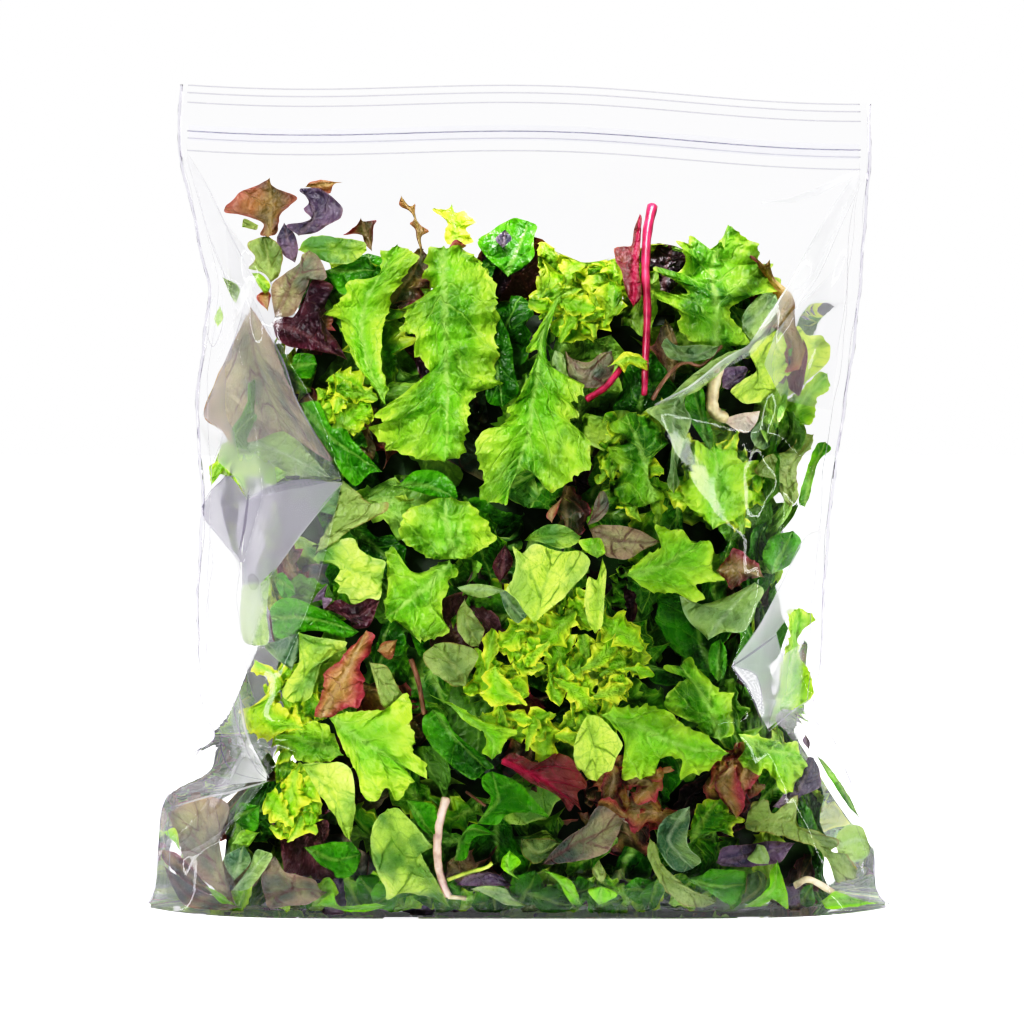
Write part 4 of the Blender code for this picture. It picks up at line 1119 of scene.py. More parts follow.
def drawn_lines(kind, rib, margins):
    """Midrib and both margins, row by row, of a leaf whose paths are given."""
    rib, margins = corners_of(rib), [corners_of(margin) for margin in margins]
    lines = [rib] + [(rib[0], *margin, rib[-1]) for margin in margins]
    longest = max(length_of(line) for line in lines)
    rows = int(np.clip(longest / KINDS[kind]["grid"][0], 14, 130))
    rib, *margins = [traced(curve_through(line, 60), rows + 1) for line in lines]
    across, ahead = margins[1] - margins[0], np.gradient(rib, axis=0)
    facing = np.sum(across[:, 0] * ahead[:, 1] - across[:, 1] * ahead[:, 0])
    return rib, margins if facing > 0 else margins[::-1]


def leaf_grid(kind, rib, margins, rng, fineness, bend):
    """A leaf lying flat with its relief: x across, y along, z towards the eye, plus its surface data."""
    look = KINDS[kind]
    drawn = bend.get("drawn", False)
    columns = max(int(look["grid"][1] * fineness), 10)
    u_low, u_high, v_low, v_high = bend.get("part", (0, 1, -1, 1))
    u = np.linspace(u_low, u_high, len(rib))[:, None]
    t = np.linspace(v_low, v_high, columns + 1)[None, :]
    v = 0.4 * np.sin(math.pi / 2 * t) + 0.6 * t
    edge = np.abs(v)
    length, width = length_of(rib), float(np.hypot(*(margins[1] - margins[0]).T).max())
    size = min(math.sqrt(length * width) / 42.0, 1.3)
    wild = bend.get("ruffle", 1.0) * rng.uniform(0.85, 1.2) * size
    shift = rng.uniform(0, 40)
    x = rib[:, :1] - (v_low + v_high) / 4 * width + 0 * v
    y, z, reach_out = rib[:, 1:] + 0 * v, 0 * v * u, 0 * v * u
    for margin, way in zip(margins, (-1, 1)):
        mask = (np.sign(v) == way) * 1.0
        reach = margin - rib
        half = np.hypot(*reach.T)[:, None]
        out = reach / np.maximum(half, 0.5)
        ahead = np.gradient(margin, axis=0)
        ahead = ahead / np.maximum(np.hypot(*ahead.T)[:, None], 0.001)
        run = np.concatenate([[0], np.cumsum(np.hypot(*np.diff(margin, axis=0).T))])[:, None]
        (lobe_step, lobe_deep), (tooth_step, tooth_deep) = look["lobes"], look["teeth"]
        lobe_deep = lobe_deep * (0.2 if drawn else 1.0)
        frill = drift(run, 17.0 * size, look["frill"], rng)
        lobe = cusps(run, lobe_step * max(size, 0.6) * rng.uniform(0.85, 1.2), rng)
        tooth = cusps(run, tooth_step * rng.uniform(0.85, 1.2), rng)
        cut = lobe_deep * size * (lobe - 0.75) + tooth_deep * size * frill * (tooth - 0.5)
        cut = np.maximum(cut, -0.62 * half)
        push = edge ** 1.6 * cut
        slide = edge ** 2 * (0.5 * tooth_deep * frill * tooth + 0.35 * lobe_deep * lobe) * size
        sideways = 0.4 if drawn else 1.0
        for wavelength, height, power in look["waves"]:
            up, over = ripple(run, wavelength * max(size, 0.55) * rng.uniform(0.85, 1.2), rng)
            swell = height * wild * edge ** power * (0.4 + 0.6 * frill) * np.clip(half / 6, 0, 1)
            z = z + mask * swell * up
            push = push - 0.5 * swell * over * sideways
            slide = slide + 0.35 * swell * over * sideways
        x = x + mask * (edge * reach[:, :1] + push * out[:, :1] + slide * ahead[:, :1])
        y = y + mask * (edge * reach[:, 1:] + push * out[:, 1:] + slide * ahead[:, 1:])
        reach_out = reach_out + mask * half
    spacing = look["spacing"] * rng.uniform(0.8, 1.25)
    along_rib = u * length
    bow = 5.0 * hills(x, y, 19, shift + 1) + 2.0 * hills(x, y, 8, shift + 2)
    lean = edge * reach_out * look["slope"] * rng.uniform(0.7, 1.3)
    veins = (along_rib + bow - lean) / spacing + 0.5 * (v > 0)
    quilt = np.abs(np.sin(math.pi * veins)) ** 0.7 * np.clip(edge * 3, 0, 1) * (1 - 0.35 * edge)
    puff = np.abs(hills(x, y, 6.5, shift)) * 2.4 + np.abs(hills(x, y, 3.4, shift + 9)) * 0.9
    z = z + look["blister"] * (0.8 * quilt + puff - 1.2)
    z = z + wild * (4.2 * hills(x, y, 17, shift + 3) + 2.4 * hills(x, y, 9, shift + 5))
    rib_width = look["rib"] * (1.25 - u) * size ** 0.5
    z = z - 0.9 * np.exp(-((v * reach_out / (rib_width + 0.4)) ** 2))
    place = np.stack([v * reach_out, along_rib + 0 * v, 0 * x + rng.uniform(0, 500)], axis=-1)
    facts = np.stack([u + 0 * v, edge + 0 * u, 0 * x, veins], axis=-1)
    return np.stack([x, y, z], axis=-1), place, facts


def rolled(x, z, start, radius, limit):
    """Rolls what lies beyond start upwards over a round of the given radius."""
    over = np.clip(x - start, 0, None)
    turn = np.minimum(over / radius, limit)
    straight = over - turn * radius
    out = np.minimum(x, start) + radius * np.sin(turn) + straight * np.cos(turn) - z * np.sin(turn)
    return out, z * np.cos(turn) + radius * (1 - np.cos(turn)) + straight * np.sin(turn)


def bend_leaf(points, length, width, rng, bend):
    """Rolls the margins, then cups, curls, sweeps, twists and tilts a flat leaf."""
    x, y, z = (points[..., i] for i in range(3))
    for way in (-1, 1):
        roll = rng.uniform(-1.1, 1.3)
        if abs(roll) > 0.35:
            sign = math.copysign(1, roll)
            start = width / 2 * rng.uniform(0.25, 0.6)
            radius = width * rng.uniform(0.1, 0.22)
            rx, rz = rolled(x * way, z * sign, start, radius, abs(roll))
            x, z = rx * way, rz * sign
    cup = rng.uniform(-22, 28) / 60.0
    z = z + cup * (np.abs(x) ** 1.5) / (width / 2) ** 0.5
    curl = math.radians(rng.uniform(-70, 70) + 0.01)
    a = curl * y / length
    y, z = length / curl * np.sin(a) - z * np.sin(a), length / curl * (1 - np.cos(a)) + z * np.cos(a)
    sweep = math.radians(rng.uniform(-34, 34) + 0.01)
    a = sweep * y / length
    x, y = x * np.cos(a) + length / sweep * (1 - np.cos(a)), length / sweep * np.sin(a) - x * np.sin(a)
    twist = math.radians(rng.uniform(-35, 35))
    turn = twist * y / length + math.radians(rng.uniform(-24, 24))
    x, z = x * np.cos(turn) + z * np.sin(turn), z * np.cos(turn) - x * np.sin(turn)
    pitch = math.radians(rng.uniform(-16, 16))
    y, z = y * math.cos(pitch) - z * math.sin(pitch), z * math.cos(pitch) + y * math.sin(pitch)
    if bend.get("under"):
        x, z = -x, -z
    return x, y, z - np.quantile(z, 0.9)


def held(value, limit, sharp):
    """Value pressed smoothly into -limit..limit."""
    share = np.abs(value) / limit
    return value / (1 + share ** sharp) ** (1 / sharp)


FILM_GAP = 0.9
LAYER_STEP = 3.0
LAYER_GROWTH = 0.25
LEAF_GAP = 0.7
SEAM_GAP = 1.5
HEAP_CEILING = 262.0
FOOT_GAP = 0.9
CELL = 2.0
WALL_X = 160.0


class Wall:
    """How deep the leaves already placed reach behind one panel, on a grid of cells."""

    def __init__(self, side):
        self.side = side
        xs = np.arange(-WALL_X, WALL_X + CELL, CELL)
        levels = np.arange(0, BAG_HEIGHT + CELL, CELL)
        x, level = np.meshgrid(xs, levels, indexing="ij")
        left, right = left_seam(level) + 1, right_seam(level) - 1
        inside = np.clip(x, left, right)
        depth = panel_depth(inside, level, side)
        self.reach = depth - np.minimum(FILM_GAP, 0.3 * depth)

    def cells(self, x, z):
        i = np.clip(((x + WALL_X) / CELL + 0.5).astype(int), 0, self.reach.shape[0] - 1)
        j = np.clip((z / CELL + 0.5).astype(int), 0, self.reach.shape[1] - 1)
        return i, j

    def limit(self, x, z):
        """The depth that a new leaf has to stay behind, eased around the leaves in front."""
        eased = self.reach
        for _ in range(2):
            wide = np.pad(eased, 1, mode="edge")
            rows = (wide[:-2] + wide[1:-1] * 2 + wide[2:]) / 4
            eased = (rows[:, :-2] + rows[:, 1:-1] * 2 + rows[:, 2:]) / 4
        eased = np.minimum(eased, self.reach)
        return eased[self.cells(x, z)]

    def add(self, x, z, out):
        i, j = self.cells(x, z)
        np.minimum.at(self.reach, (i.ravel(), j.ravel()), out.ravel() - LEAF_GAP)


def into_bag(x, z, relief, wall, layer, drawn=False):
    """Puts leaf points behind a panel and behind the leaves already there: layers count inwards."""
    side = wall.side
    z = FOOT_GAP + np.logaddexp(0, (z - FOOT_GAP) / 1.5) * 1.5
    if not drawn:
        top = HEAP_CEILING + 7 * hills(x, 0 * x, 26) + 4 * hills(x, 0 * x, 9, 3)
        z = top - np.logaddexp(0, (top - z) / 3.0) * 3.0
    level = z - mouth_rise(x, z)
    left, right = left_seam(level) + SEAM_GAP, right_seam(level) - SEAM_GAP
    if drawn:
        x = np.clip(x, left, right)
    else:
        ragged = 5 * hills(level, 0 * level, 11, 4)
        left = np.maximum(left, heap_left(level) - 2 + ragged)
        right = np.minimum(right, heap_right(level) + 2 - ragged)
        middle, half = (left + right) / 2, (right - left) / 2
        x = middle + held(x - middle, half, 7)
    front = panel_depth(x, level, side)
    far = panel_depth(x, level, -side)
    gap = np.minimum(FILM_GAP, 0.3 * front)
    out = front - gap - LAYER_STEP * layer * (1 + LAYER_GROWTH * layer) + relief
    out = soft_min(out, wall.limit(x, level), 1.5)
    deepest = np.maximum(far - gap, 0.2)
    out = np.where(out < 0, held(out, deepest, 6), out)
    out = np.minimum(out, front - gap)
    wall.add(x, level, out)
    y = middle_at(x, level) + side * out
    return np.stack([x, y, z], axis=-1)


class LeafPile:
    """Collects the leaves of each kind and makes one object of each."""

    def __init__(self):
        self.parts = {kind: [] for kind in KINDS}
        self.walls = {side: Wall(side) for side in (-1, 1)}

    def add(self, kind, x, z, length, width, heading, layer, bend, side, rng, fineness=1.0):
        """Bends a leaf, turns its tip to the heading and lays it behind the panel on one side."""
        rib, margins = grown_lines(kind, length, width, fineness, bend, rng.uniform(0, 40))
        grid, place, facts = leaf_grid(kind, rib, margins, rng, fineness, bend)
        across, ahead, relief = bend_leaf(grid, length, width, rng, bend)
        across = -side * across
        h = math.radians(heading)
        px = x + ahead * math.cos(h) + across * math.sin(h)
        pz = z + ahead * math.sin(h) - across * math.cos(h)
        facts[..., 2] = bend.get("tone_and_shade", rng.uniform(0.1, 0.9))
        self.parts[kind].append((into_bag(px, pz, relief, self.walls[side], layer), place, facts))

    def draw(self, kind, layer, tone_and_shade, rib, margins, rng):
        """Lays a leaf with given corners behind the front panel, its face outwards."""
        bend = dict(drawn=True, ruffle=0.75)
        rib, margins = drawn_lines(kind, rib, margins)
        grid, place, facts = leaf_grid(kind, rib, margins, rng, 1.0, bend)
        along, edge = facts[..., 0], facts[..., 1]
        relief = grid[..., 2] - np.quantile(grid[..., 2], 0.85)
        relief = relief + rng.uniform(-2.5, 1.0) * edge ** 2 + rng.uniform(-3.0, 3.0) * (along - 0.5)
        facts[..., 2] = tone_and_shade
        points = into_bag(grid[..., 0], grid[..., 1], relief, self.walls[-1], layer, True)
        self.parts[kind].append((points, place, facts))

    def build(self, kind, name):
        points, places, facts, faces, start = [], [], [], [], 0
        for grid, place, fact in self.parts[kind]:
            rows, columns = grid.shape[:2]
            points.append(grid.reshape(-1, 3))
            places.append(place.reshape(-1, 3))
            facts.append(fact.reshape(-1, 4))
            faces.append(grid_faces(rows, columns, start))
            start += rows * columns
        mesh = mesh_from(name, np.concatenate(points), np.concatenate(faces))
        placed = mesh.attributes.new("place", "FLOAT_VECTOR", "POINT")
        placed.data.foreach_set("vector", np.concatenate(places).astype(np.float32).ravel())
        fact = mesh.attributes.new("leaf", "FLOAT_COLOR", "POINT")
        fact.data.foreach_set("color", np.concatenate(facts).astype(np.float32).ravel())
        return mesh


def leaf_group():
    """Shader group: veins, a net of fine veins, patches of light and dark, and worn margins of a leaf."""
    tree = bpy.data.node_groups.new("leaf_surface", "ShaderNodeTree")
    face = tree.interface
    for name, kind in (
        ("Place", "NodeSocketVector"), ("Margin", "NodeSocketFloat"), ("Along", "NodeSocketFloat"),
        ("Vein Run", "NodeSocketFloat"), ("Net Scale", "NodeSocketFloat"), ("Rib Width", "NodeSocketFloat"),
    ):
        face.new_socket(name, in_out="INPUT", socket_type=kind)
    for name in ("Veins", "Rib", "Net", "Blotch", "Patch", "Wear", "Rim", "Height"):
        face.new_socket(name, in_out="OUTPUT", socket_type="NodeSocketFloat")
    graph = Graph(tree)
    given = graph.node("NodeGroupInput").outputs
    out = graph.node("NodeGroupOutput")
    place = given["Place"]
    wobble = graph.math("SUBTRACT", graph.noise(place, 0.11, 3.0, 0.6), 0.5)
    run = graph.math("MULTIPLY_ADD", wobble, 0.5, given["Vein Run"])
    off = graph.math("ABSOLUTE", graph.math("SUBTRACT", graph.math("FRACT", run), 0.5))
    off = graph.math("SUBTRACT", 0.5, off)
    thin = graph.math("MULTIPLY_ADD", given["Margin"], -0.06, 0.1)
    veins = graph.math("SUBTRACT", 1.0, graph.math("DIVIDE", off, thin))
    veins = graph.math("MULTIPLY", graph.ramp(veins, 0.0, 0.9), graph.ramp(wobble, -0.2, 0.08))
    parts = graph.node("ShaderNodeSeparateXYZ", Vector=place).outputs
    side = graph.math("ABSOLUTE", graph.math("MULTIPLY_ADD", wobble, 3.0, parts["X"]))
    width = graph.math("MULTIPLY", graph.math("SUBTRACT", 1.2, given["Along"]), given["Rib Width"])
    rib = graph.math("SUBTRACT", 1.0, graph.math("DIVIDE", side, width))
    rib = graph.ramp(rib, -0.9, 0.9)
    bent = graph.node("ShaderNodeVectorMath", {"operation": "SCALE"}, Scale=5.0)
    wander = graph.node("ShaderNodeTexNoise", Vector=place, Scale=0.16, Detail=2.0)
    graph.feed(bent.inputs[0], wander.outputs["Color"])
    moved = graph.node("ShaderNodeVectorMath", {"operation": "ADD"})
    graph.feed(moved.inputs[0], place)
    graph.feed(moved.inputs[1], bent.outputs[0])
    cells = {"feature": "DISTANCE_TO_EDGE"}
    coarse = graph.node("ShaderNodeTexVoronoi", cells, Scale=given["Net Scale"], Vector=moved.outputs[0])
    tripled = graph.math("MULTIPLY", given["Net Scale"], 2.7)
    fine = graph.node("ShaderNodeTexVoronoi", cells, Scale=tripled, Vector=moved.outputs[0])
    net = graph.ramp(coarse.outputs[0], 0.0, 0.055, 1.0, 0.0)
    small = graph.ramp(fine.outputs[0], 0.0, 0.1, 0.45, 0.0)
    net = graph.math("MAXIMUM", net, small)
    blotch = graph.ramp(graph.noise(place, 0.075, 3.0), 0.32, 0.68)
    patch = graph.ramp(graph.noise(place, 0.06, 2.0, 0.6), 0.34, 0.66, -0.5, 0.45)
    speck = graph.ramp(graph.noise(place, 0.4, 3.0, 0.6), 0.62, 0.72)
    wear = graph.math("MULTIPLY", speck, graph.ramp(given["Margin"], 0.82, 1.0))
    grain = graph.noise(place, 1.1, 3.0)
    puff = graph.ramp(coarse.outputs[0], 0.0, 0.5)
    height = graph.math("MULTIPLY_ADD", grain, 0.4, graph.math("MULTIPLY", puff, 0.9))
    height = graph.math("MULTIPLY_ADD", graph.noise(place, 0.35, 2.0), 1.9, height)
    height = graph.math("MULTIPLY_ADD", veins, -0.6, height)
    # Rim: a band at the margin. On olive, rosso, oak and chard it is the edge's own brown or red; on the
    # other kinds it is a painted glow of light through the thin edge.
    rim = graph.ramp(given["Margin"], 0.86, 0.99)
    edge_noise = graph.ramp(graph.noise(place, 0.2, 1.0), 0.35, 0.55)
    rim = graph.math("MULTIPLY", rim, edge_noise)
    for name, value in (
        ("Veins", veins), ("Rib", rib), ("Net", net), ("Blotch", blotch), ("Patch", patch), ("Wear", wear),
        ("Rim", rim), ("Height", height),
    ):
        graph.feed(out.inputs[name], value)
    return tree


# SHADED tints the shaded copy of each leaf colour, which is painted shade. WORN is the brown of worn specks.
SHADED = (0.25, 0.4, 0.5)
WORN = (0.16, 0.08, 0.02)


def leaf_material(name, kind, surface_group):
    """Fresh leaf: veined, lighter at the margin and underneath, waxy, letting some light through. Its colour
    is weighed between a lit copy and a shaded copy, which are painted light and shade, and the lighter margin
    is partly a painted glow.
    """
    look = KINDS[kind]
    material, graph, output = new_material(name)
    place = graph.node("ShaderNodeAttribute", {"attribute_name": "place"}).outputs["Vector"]
    data = graph.node("ShaderNodeAttribute", {"attribute_name": "leaf"})
    parts = graph.node("ShaderNodeSeparateColor", Color=data.outputs["Color"]).outputs
    along_leaf, margin, tone_and_shade = parts[0], parts[1], parts[2]
    group = graph.node("ShaderNodeGroup", {"node_tree": surface_group})
    for socket, value in (
        ("Place", place), ("Margin", margin), ("Along", along_leaf), ("Vein Run", data.outputs["Alpha"]),
        ("Net Scale", look["net"]), ("Rib Width", look["rib"]),
    ):
        graph.feed(group.inputs[socket], value)
    made = group.outputs
    share = graph.math("MULTIPLY_ADD", made["Blotch"], 0.35, graph.math("MULTIPLY", margin, 0.8))
    colour = graph.mix(graph.ramp(share, 0.2, 1.1), rgb(look["inner"]), rgb(look["outer"]))
    # Painted light and shade: a lit copy and a shaded copy of the colour, weighed by how light each leaf is.
    # That weight is partly the leaf's own shade and partly painted light and shade.
    light = graph.mix(1.0, colour, rgb(look["light"]), "MULTIPLY")
    dark = graph.mix(1.0, colour, rgb(SHADED), "MULTIPLY")
    tone_and_shade = graph.math("MULTIPLY_ADD", made["Patch"], 0.7, tone_and_shade)
    colour = graph.mix(graph.ramp(tone_and_shade, 0.0, 1.0), dark, light)
    # Rim is partly the edge's own colour and partly a painted glow of light through the thin edge. Veins,
    # net, rib and wear are the leaf's own colour.
    for mask, strength, target in (
        ("Veins", look["vein_share"], look["vein"]), ("Net", look["vein_share"] * 0.5, look["vein"]),
        ("Rib", look["rib_share"], look["rib_colour"]), ("Rim", 0.55, look["rim"]),
        ("Wear", 0.6, WORN),
    ):
        colour = graph.mix(graph.math("MULTIPLY", made[mask], strength), colour, rgb(target))
    back = graph.node("ShaderNodeNewGeometry").outputs["Backfacing"]
    under = graph.mix(0.3, colour, rgb(look["rib_colour"]))
    colour = graph.mix(back, colour, under)
    bump = graph.node("ShaderNodeBump", Strength=0.8, Distance=0.0013, Height=made["Height"])
    shader = graph.node("ShaderNodeBsdfPrincipled", Base_Color=colour, Normal=bump.outputs[0])
    rough = graph.math("MULTIPLY_ADD", made["Blotch"], 0.14, look["rough"] - 0.05)
    graph.feed(shader.inputs["Roughness"], rough)
    shader.inputs["Specular IOR Level"].default_value = 0.6
    through = graph.node("ShaderNodeBsdfTranslucent", Normal=bump.outputs[0])
    graph.feed(through.inputs["Color"], graph.mix(1.0, colour, (1.5, 1.35, 0.5, 1.0), "MULTIPLY"))
    both = graph.node("ShaderNodeMixShader")
    both.inputs[0].default_value = 0.22
    graph.feed(both.inputs[1], shader.outputs[0])
    graph.feed(both.inputs[2], through.outputs[0])
    graph.feed(output.inputs["Surface"], both.outputs[0])
    return material


# ---------------------------------------------------------------- stalks
# Bare stalks: colour, route as (x, depth behind the film, z), and the radius at either end.
STALKS = (
    ("magenta", ((53, 1, 277), (50.5, 1, 265), (49.5, 1.5, 250), (50, 2, 235), (49, 3, 215), (48.5, 4, 202)),
     1.9, 1.1),
    ("magenta", ((26, 2, 200), (33, 2, 204.5), (37, 2, 209), (40, 3, 213)), 1.2, 1.1),
    ("magenta", ((-6, 0.5, 62.5), (2, 0.5, 58.5), (8, 1, 54.5)), 1.3, 0.8),
    ("cream", ((77.5, 2, 213), (76, 1.5, 206), (75.3, 1.5, 199), (77, 1.5, 195), (81, 2.5, 193)), 2.4, 2.2),
    ("blush", ((-27.5, 0.5, 48), (-30, 0.5, 39), (-31, 0.5, 29), (-30.5, 0.5, 21), (-28.5, 1, 13),
               (-27, 1, 9.5)), 1.6, 1.4),
    ("cream", ((-27, 1.5, 9), (-20, 1.5, 8.3)), 0.8, 0.8),
    ("cream", ((107, 2, 12), (113, 1.5, 14), (123, 1.5, 8)), 1.2, 1.2),
    ("green", ((-27, 1, 16), (-20, 1, 18.7), (-12.7, 1, 20.8), (-10, 1, 22.7)), 0.7, 0.7),
    ("brown", ((51.5, 3, 200), (55, 2, 206), (60.5, 2, 212.5), (65, 2, 214.5), (71, 2, 213.5), (79, 3, 221)),
     0.8, 0.6),
    ("brown", ((-20, 2, 50.5), (-12.5, 2, 45)), 0.5, 0.5),
    ("brown", ((-41, 4, 101), (-38, 3, 92), (-36, 3, 80)), 1.0, 0.8),
)
STALK_COLOURS = {
    "magenta": (0.42, 0.008, 0.07), "cream": (0.72, 0.6, 0.36), "blush": (0.78, 0.5, 0.42),
    "green": (0.5, 0.62, 0.08), "brown": (0.2, 0.09, 0.05),
}


def tube_points(route, start_radius, end_radius, sides=10, steps=40, side=-1):
    """A tapering, slightly ridged stalk along a smooth route of (x, inset, z)."""
    t = np.linspace(0, len(route) - 1, steps)
    line = curve_through(route, steps)
    x, inset, z = line.T
    level = z - mouth_rise(x, z)
    depth = np.maximum(panel_depth(x, level, side) - inset - start_radius - FILM_GAP, 0.5)
    centre = np.stack([x, middle_at(x, level) + side * depth, z], axis=-1)
    ahead = np.gradient(centre, axis=0)
    ahead /= np.linalg.norm(ahead, axis=1)[:, None]
    out = np.array([0.0, side, 0.0])
    wide = np.cross(ahead, out)
    wide /= np.linalg.norm(wide, axis=1)[:, None]
    high = np.cross(wide, ahead)
    turn = np.linspace(0, 2 * math.pi, sides + 1)[None, :, None]
    radius = np.linspace(start_radius, end_radius, steps)[:, None, None]
    radius = radius * (1 + 0.09 * np.cos(turn * 4)) * (1 + 0.05 * np.sin(t * 9))[:, None, None]
    return centre[:, None] + radius * (np.cos(turn) * wide[:, None] + np.sin(turn) * high[:, None] * 0.8)


def stalk_mesh(name, colour):
    """Every stalk of one colour as one mesh, with rounded ends."""
    points, faces, start = [], [], 0
    for kind, route, start_radius, end_radius in STALKS:
        if kind != colour:
            continue
        tube = tube_points(route, start_radius, end_radius)
        centre = tube.mean(axis=1, keepdims=True)
        first = centre[:1] + (tube[:1] - centre[:1]) * 0.55 + (centre[:1] - centre[1:2]) * 0.25
        last = centre[-1:] + (tube[-1:] - centre[-1:]) * 0.55 + (centre[-1:] - centre[-2:-1]) * 0.25
        tip, tail = 0 * first + first.mean(axis=1, keepdims=True), 0 * last + last.mean(axis=1, keepdims=True)
        tube = np.concatenate([tip, first, tube, last, tail])
        points.append(tube.reshape(-1, 3))
        faces.append(grid_faces(*tube.shape[:2], start))
        start += tube.shape[0] * tube.shape[1]
    mesh = mesh_from(name, np.concatenate(points), np.concatenate(faces))
    tidy_mesh(mesh)
    return mesh


def stalk_group():
    """Shader group: the blotches and the fine long fibres of a juicy stalk."""
    tree = bpy.data.node_groups.new("stalk_surface", "ShaderNodeTree")
    for name in ("Blotch", "Fibre"):
        tree.interface.new_socket(name, in_out="OUTPUT", socket_type="NodeSocketFloat")
    graph = Graph(tree)
    out = graph.node("NodeGroupOutput")
    place = graph.node("ShaderNodeTexCoord").outputs["Object"]
    fibre = graph.node("ShaderNodeTexNoise", Scale=900.0, Detail=3.0)
    stretch = graph.node("ShaderNodeMapping", Vector=place, Scale=(1.0, 1.0, 0.12))
    graph.feed(fibre.inputs["Vector"], stretch.outputs[0])
    graph.feed(out.inputs["Blotch"], graph.ramp(graph.noise(place, 160.0, 3.0), 0.3, 0.7))
    graph.feed(out.inputs["Fibre"], fibre.outputs["Fac"])
    return tree


def stalk_material(name, colour, surface_group):
    """Ribbed juicy stalk with fine long fibres."""
    material, graph, output = new_material(name)
    made = graph.node("ShaderNodeGroup", {"node_tree": surface_group}).outputs
    deep = tuple(c * 0.55 for c in colour)
    pale = tuple(min(1.0, c * 1.35 + 0.03) for c in colour)
    mixed = graph.mix(made["Blotch"], rgb(deep), rgb(pale))
    mixed = graph.mix(graph.ramp(made["Fibre"], 0.45, 0.75, 0.0, 0.4), mixed, rgb(pale))
    bump = graph.node("ShaderNodeBump", Strength=0.4, Distance=0.0004, Height=made["Fibre"])
    shader = graph.node("ShaderNodeBsdfPrincipled", Base_Color=mixed, Normal=bump.outputs[0])
    shader.inputs["Roughness"].default_value = 0.32
    shader.inputs["Subsurface Weight"].default_value = 0.15
    shader.inputs["Subsurface Radius"].default_value = (0.004, 0.002, 0.001)
    graph.feed(output.inputs["Surface"], shader.outputs[0])
    return material


# ---------------------------------------------------------------- heap behind the front leaves
HEAP_LEFT = (
    (0, -133), (36, -130), (50, -112), (67, -97), (90, -104), (140, -108), (190, -117),
    (230, -101), (270, -108), (285, -95), (323, -80),
)
HEAP_RIGHT = (
    (0, 133), (40, 130), (60, 112), (80, 107), (110, 112), (145, 109), (165, 118),
    (225, 118), (260, 101), (285, 80), (323, 70),
)
HEAP_TOP = 250.0
LEAF_LENGTHS = (38, 66)
BIT_LENGTHS = (11, 22)
HIDDEN_FINENESS = 0.55
BIT_FINENESS = 0.7
heap_left, heap_right = tabled(HEAP_LEFT), tabled(HEAP_RIGHT)
MIX = (
    ("spinach", 0.24), ("batavia", 0.26), ("frisee", 0.14), ("pale", 0.07), ("rosso", 0.07),
    ("purple", 0.09), ("mauve", 0.04), ("oak", 0.03), ("mizuna", 0.06),
)


def scatter_leaves(pile, side, layers, spacing, rng, size=1.0, calm=1.0, dark=0.0):
    """Leaves at stratified places over the whole heap, in every given layer, made darker by dark as painted
    shade of the deep layers.
    """
    kinds = [kind for kind, _ in MIX]
    shares = np.array([share for _, share in MIX])
    for layer in layers:
        for level in np.arange(10, HEAP_TOP, spacing):
            left, right = float(heap_left(level)) + 8, float(heap_right(level)) - 8
            for x in np.arange(left, right, spacing):
                kind = kinds[rng.choice(len(kinds), p=shares / shares.sum())]
                length = rng.uniform(*LEAF_LENGTHS) * size
                width = length * rng.uniform(0.5, 0.8)
                px, pz = x + rng.uniform(0, spacing), level + rng.uniform(-0.5, 0.5) * spacing
                px = min(max(px, left), right)
                top = rng.uniform(50, 130) if level > HEAP_TOP - 30 else rng.uniform(0, 360)
                # Painted shade: dark pulls deep leaves towards their shaded copy.
                tone_and_shade = rng.uniform(0.05, 0.8) * (1 - dark)
                bend = dict(tone_and_shade=tone_and_shade, ruffle=calm * rng.uniform(0.8, 1.3), under=rng.uniform() < 0.25)
                if rng.uniform() < 0.5:
                    torn_from = rng.uniform(0, 0.4)
                    bend["part"] = (torn_from, 1, *((-0.25, 1) if rng.uniform() < 0.5 else (-1, 0.25)))
                depth = layer + rng.uniform(-0.4, 0.4)
                pile.add(kind, px, pz, length, width, top, depth, bend, side, rng, HIDDEN_FINENESS)


def scatter_bits(pile, rng):
    """Small torn bits in the patches where the leaves are too small to draw one by one."""
    for kind, x, z, across, up, count, tones in BITS:
        for _ in range(count):
            turn, reach = rng.uniform(0, 2 * math.pi), math.sqrt(rng.uniform(0, 1))
            length = rng.uniform(*BIT_LENGTHS)
            bend = dict(tone_and_shade=rng.uniform(*tones), ruffle=rng.uniform(0.8, 1.2))
            px, pz = x + across * reach * math.cos(turn), z + up * reach * math.sin(turn)
            width, layer = length * rng.uniform(0.5, 0.8), rng.uniform(0.2, 1.6)
            pile.add(kind, px, pz, length, width, rng.uniform(0, 360), layer, bend, -1, rng, BIT_FINENESS)


def core_mesh(name):
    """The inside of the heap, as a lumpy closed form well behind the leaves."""
    levels = np.linspace(5, HEAP_TOP - 16, 48)[:, None]
    turn = np.linspace(0, 2 * math.pi, 97)[None, :]
    left, right = heap_left(levels) + 16, heap_right(levels) - 16
    x = (left + right) / 2 + (right - left) / 2 * np.cos(turn)
    level = levels + 0 * x
    depth = np.where(np.sin(turn) < 0, panel_depth(x, level, -1), panel_depth(x, level, 1))
    lumps = 2.5 * np.sin(x * 0.13 + level * 0.05) * np.sin(level * 0.11 + 1.0)
    lumps = lumps + 1.5 * np.sin(x * 0.29) * np.sin(level * 0.23)
    depth = np.maximum(depth - 32 + lumps, 1.0)
    y = middle_at(x, level) + np.sign(np.sin(turn)) * depth * np.abs(np.sin(turn)) ** 0.4
    grid = np.stack([x, y, level], axis=-1)
    ends = [0 * grid[:1] + grid[i:i + 1].mean(axis=1, keepdims=True) for i in (0, grid.shape[0] - 1)]
    grid = np.concatenate([ends[0], grid, ends[1]])
    mesh = mesh_from(name, grid.reshape(-1, 3), grid_faces(*grid.shape[:2]))
    tidy_mesh(mesh)
    return mesh


